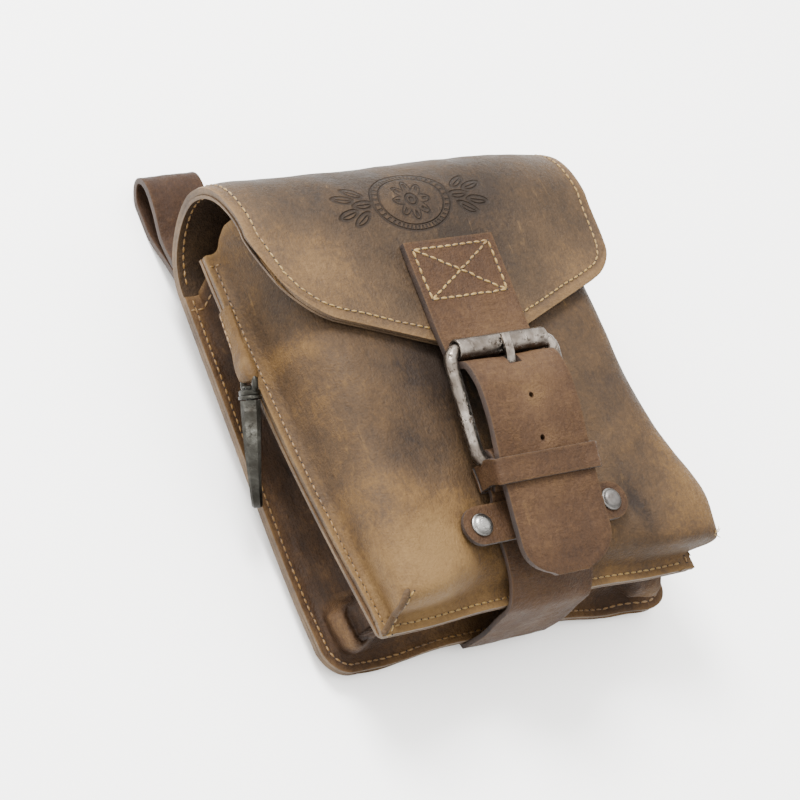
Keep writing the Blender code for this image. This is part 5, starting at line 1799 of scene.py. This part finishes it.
def make_hook():
    """The hook's bar with its swivel stem, the gate's ear, and the slot and bore for the gate."""
    steel = looks["steel"]
    rows = [(hook_half_width * row.side, hook_length * row.along, hook_bar * row.bar * 1.06,
             hook_thickness * row.thickness * 1.18) for row in hook_path]
    hook = lofted("hook_bar", bar_rings(rows), steel)
    ear_radius = gate_bar / 2 + ear_wall
    ear = spun("ear", [(0, -half_ear), (ear_radius - 0.3 * mm, -half_ear), (ear_radius, 0.3 * mm - half_ear),
                       (ear_radius, half_ear - 0.3 * mm), (ear_radius - 0.3 * mm, half_ear), (0, half_ear)],
               gate_pivot, pin_way, 32, steel)
    join_solid(hook, ear)
    head_low = eye_top + gap + 0.1 * mm
    head_high = head_low + stem_head_height
    profile = [(0, -2.0 * mm), (stem_radius, -2.0 * mm), (stem_radius, head_low),
               (stem_head_radius, head_low), (stem_head_radius, head_low + 0.7 * stem_head_height),
               (0.7 * stem_head_radius, head_high), (0, head_high)]
    join_solid(hook, spun("stem", profile, hook_top, -hook_down, 32, steel))
    half_slot = gate_thickness / 2 + easy_gap
    root = ear_radius + 0.35 * mm
    low = gate_side - root
    corners = [(low, gate_place - root), (gate_side + 2 * root, gate_place - root),
               (gate_side + 2 * root, gate_place + 2.4 * root), (low - 2.6 * mm, gate_place + 2.4 * root)]
    slot = lofted("slot", [[hook_place(side, along, depth) for side, along in corners]
                           for depth in (-half_slot, 0, half_slot)], steel)
    cut_with(hook, slot)
    cut_with(hook, drum("bore", gate_pin_radius + gap, 2 * half_ear, 20))
    finish_piece(hook, ("snap_hook",), angle=32, body="hook_body")


def make_gate():
    bends = ((0.0, 0.0, 1.0), (0.3 * mm, 6 * mm, 1.0), (0.9 * mm, 12 * mm, 1.0),
             (1.5 * mm, gate_length, 0.85))
    rows = [(gate_side - inwards, gate_place + along, gate_bar * size, gate_thickness * size)
            for inwards, along, size in bends]
    gate = lofted("gate_bar", bar_rings(rows), looks["steel"])
    join_solid(gate, drum("gate_root", gate_bar / 2 + 0.35 * mm, gate_thickness / 2 + 0.1 * mm, 28))
    join_solid(gate, drum("gate_pin", gate_pin_radius, half_ear - 0.1 * mm, 20))
    finish_piece(gate, ("hook_gate",), angle=32, body="gate")


def make_eye():
    """Collar and knob round the hook's stem, with the bail that the tab holds."""
    steel = looks["steel"]
    start = gap + 0.05 * mm
    collar_end = start + eye_collar_length
    profile = [(stem_radius + gap, start), (eye_collar_radius - 0.3 * mm, start),
               (eye_collar_radius, start + 0.35 * mm), (eye_collar_radius, collar_end - 0.4 * mm),
               (eye_collar_radius - 0.3 * mm, collar_end),
               (eye_knob_radius - 0.25 * mm, collar_end + 0.15 * mm),
               (eye_knob_radius, collar_end + 0.6 * mm), (eye_knob_radius, eye_top - 0.8 * mm),
               (eye_knob_radius * 0.86, eye_top - 0.2 * mm), (eye_knob_radius * 0.7, eye_top),
               (stem_radius + gap, eye_top), (stem_radius + gap, start)]
    eye = spun("eye_knob", profile, hook_top, -hook_down, 40, steel)
    bail_low = eye_top - eye_rod_radius + 0.2 * mm
    corners = rounded_rectangle(eye_span / 2 - 1.1 * mm, bail_low, eye_bar_place, 2.6 * mm, 6)
    join_solid(eye, bent_rod("eye_bail", corners, 0.8 * mm, hook_top, (bar_way, -hook_down, bail_way),
                             eye_rod_radius, 14, steel))
    finish_piece(eye, ("hook_eye",), angle=40)


tab_path = ((-87.2, 154.0, 25.0), (-87.6, 146.0, 25.6), (-88.6, 137.0, 27.2), (-90.0, 129.0, 29.4))


def make_tab():
    """Tab sewn flat on the gusset, and doubled where it turns round the eye's bar."""
    end = Vector((0, -1, -0.2)).normalized()
    middle = places(tab_path) + [bail_bar, bail_bar + end * (eye_rod_radius + 0.9 * tab_leather)]
    line = finer(middle, 0.7 * mm)
    count = len(line) - 1
    rings = []
    for index, point in enumerate(line):
        share = smooth((index / count - 0.45) / 0.4)
        run = run_at(line, index).normalized()
        wide_way = (bar_way - run * bar_way.dot(run)).normalized()
        away = run.cross(wide_way)
        left = (count - index) / 4.5
        close = sqrt(clamp(1 - (1 - clamp(left)) ** 2, 0.03, 1))
        thick = mix(tab_leather, eye_rod_radius + gap + tab_leather, share) * close
        wide = tab_width / 2 * mix(1.15, 1.3, share) * mix(0.8, 1.0, close)
        rings.append([point + wide_way * wide * abs(cos(turn)) ** 0.5 * (1 if cos(turn) > 0 else -1)
                      + away * thick * sin(turn) for turn in turns(24)])
    tab = lofted("tab_hide", rings, looks["tab"])
    put_attribute(tab, "rim", np.zeros(len(tab.data.vertices)))
    put_attribute(tab, "tone", 0.6 * waves(points_of(tab), 9 * mm, 91))
    beside = Vector((-4, 0, -2.6)) * mm
    seam = Seam(surface_tree(tab), [point + beside for point in line[1:count // 2]])
    finish_piece(tab, ("hook_tab",))
    return seam


# The dart that is sewn at the front's lower left corner, and loose thread ends

def cord(name, line, half_width, half_height, look, tree, sink=0.2):
    """A soft strip that lies along a line on a piece."""
    rings = []
    spots, normals = laid_on(tree, finer(line, 0.7 * mm))
    count = len(spots) - 1
    for index, (spot, up) in enumerate(zip(spots, normals)):
        run = run_at(spots, index)
        run = (run - up * run.dot(up)).normalized()
        side = up.cross(run)
        close = sqrt(clamp(1 - (1 - clamp(min(index, count - index) / 3.0 + 0.12)) ** 2, 0.02, 1))
        rings.append([spot + up * (half_height * (sin(turn) * close + 1 - 2 * sink))
                      + side * half_width * close * cos(turn) for turn in turns(14)])
    return lofted(name, rings, look)


dart_path = ((-79.4, 6.6, 45.4), (-78.4, 8.8, 51.0), (-77.0, 12.4, 58.4), (-75.0, 17.6, 64.0))
loose_threads = (((82.4, 14.6, 60.0), (84.6, 14.9, 59.8), (85.8, 15.9, 60.2)),
                 ((82.2, 14.2, 59.4), (84.2, 13.3, 58.8), (85.8, 12.6, 58.2)),
                 ((82.4, 14.9, 60.6), (84.0, 15.6, 61.2), (84.6, 16.8, 61.0)))


def make_dart(tree):
    line = finer(places(dart_path), 1.0 * mm)
    fin = cord("corner_dart", line, 1.3 * mm, 1.15 * mm, looks["body"], tree, 0.24)
    put_attribute(fin, "rim", np.full(len(fin.data.vertices), 0.1))
    put_attribute(fin, "tone", np.full(len(fin.data.vertices), -0.2))
    finish_piece(fin)
    spots, normals = laid_on(tree, line)
    beside = []
    for index, (spot, up) in enumerate(zip(spots, normals)):
        side = run_at(spots, index).cross(up).normalized()
        beside.append(spot + (side * 2.5 + up * 1.0) * mm)
    return Seam(tree, beside)


def make_thread_ends():
    for index, line in enumerate(loose_threads):
        points = finer(places(line), 0.5 * mm)
        rings = []
        for step, point in enumerate(points):
            radius = 0.34 * mm * (1 - 0.6 * step / (len(points) - 1))
            rings.append([point + Vector((0, cos(turn), sin(turn))) * radius for turn in turns(8)])
        finish_piece(lofted("thread_end_%d" % (index + 1), rings, looks["thread"]))


# Camera, floor and light

def place_camera():
    """The camera that was fitted to the photograph: its three ways and its stand in the bag's own frame."""
    right = Vector((0.8115, -0.3271, 0.4842))
    down = Vector((-0.1337, -0.9106, -0.3910))
    view = Vector((0.5688, 0.2526, -0.7827))
    stand = Vector((-0.68268, -0.18912, 0.93617))
    turn = Matrix((right, -down, -view)).transposed().to_4x4()
    data = bpy.data.cameras.new("camera")
    data.lens = 127.8
    data.sensor_width = 36.0
    data.clip_end = 20.0
    camera = bpy.data.objects.new("camera", data)
    camera.matrix_world = lie_down @ Matrix.Translation(stand) @ turn
    bpy.context.scene.collection.objects.link(camera)
    bpy.context.scene.camera = camera


def add_lamp(name, place, size, power, target=(0, 0, 0.03)):
    data = bpy.data.lights.new(name, "AREA")
    data.size = size
    data.energy = power
    lamp = bpy.data.objects.new(name, data)
    lamp.location = place
    lamp.rotation_euler = (Vector(target) - Vector(place)).to_track_quat("-Z", "Y").to_euler()
    bpy.context.scene.collection.objects.link(lamp)


def set_studio():
    floor = added(bpy.ops.mesh.primitive_plane_add, size=8.0, location=(0, 0, 0))
    floor.name = "floor"
    floor.data.materials.append(Finish("pale_floor").lay((0.95, 0.95, 0.945, 1.0), 0.85))
    world = bpy.data.worlds.new("studio")
    sky = Finish("studio", world)
    backdrop = world.node_tree.nodes["Background"].inputs
    sky.feed(backdrop["Color"], (1.0, 0.985, 0.96, 1.0))
    towards = sky.node("ShaderNodeTexCoord").outputs["Generated"]
    overhead = sky.node("ShaderNodeVectorMath", {0: towards, 1: (-0.30, 0.45, 0.84)},
                        operation="DOT_PRODUCT").outputs["Value"]
    sky.feed(backdrop["Strength"], sky.level(overhead, -0.2, 1.0, 0.8, 5.3))
    bpy.context.scene.world = world
    add_lamp("key", (-0.35, 0.75, 1.1), 0.45, 48.0)
    add_lamp("fill", (0.8, -0.4, 0.8), 1.0, 5.0)


flap_seam = make_body()
lining_seams = make_lining()
side_seams, low_seam, front_tree = make_front()
back_seams = make_gusset()
box_seams = make_flap_strap()
make_lower_strap()
make_keeper()
make_band()
make_rivets()
make_loops()
make_frame_rod()
make_roller()
make_prong()
make_hook()
make_gate()
make_eye()
tab_seam = make_tab()
dart_seam = make_dart(front_tree)
make_thread_ends()
sew("flap_stitches", looks["thread"], [flap_seam], seed=1)
sew("flap_lining_stitches", looks["waxed_painted_shade_thread"], lining_seams + [tab_seam], seed=2)
sew("front_low_stitches", looks["thread"], [low_seam, dart_seam], seed=3)
sew("front_side_stitches", looks["waxed_painted_shade_thread"], side_seams, seed=4)
sew("back_stitches", looks["waxed_painted_shade_thread"], back_seams, seed=5)
sew("box_stitches", looks["thread"], box_seams, pitch=3.8 * mm, gap_between=0.35 * mm, width=0.95 * mm,
    height=0.8 * mm, seed=6)
place_camera()
set_studio()
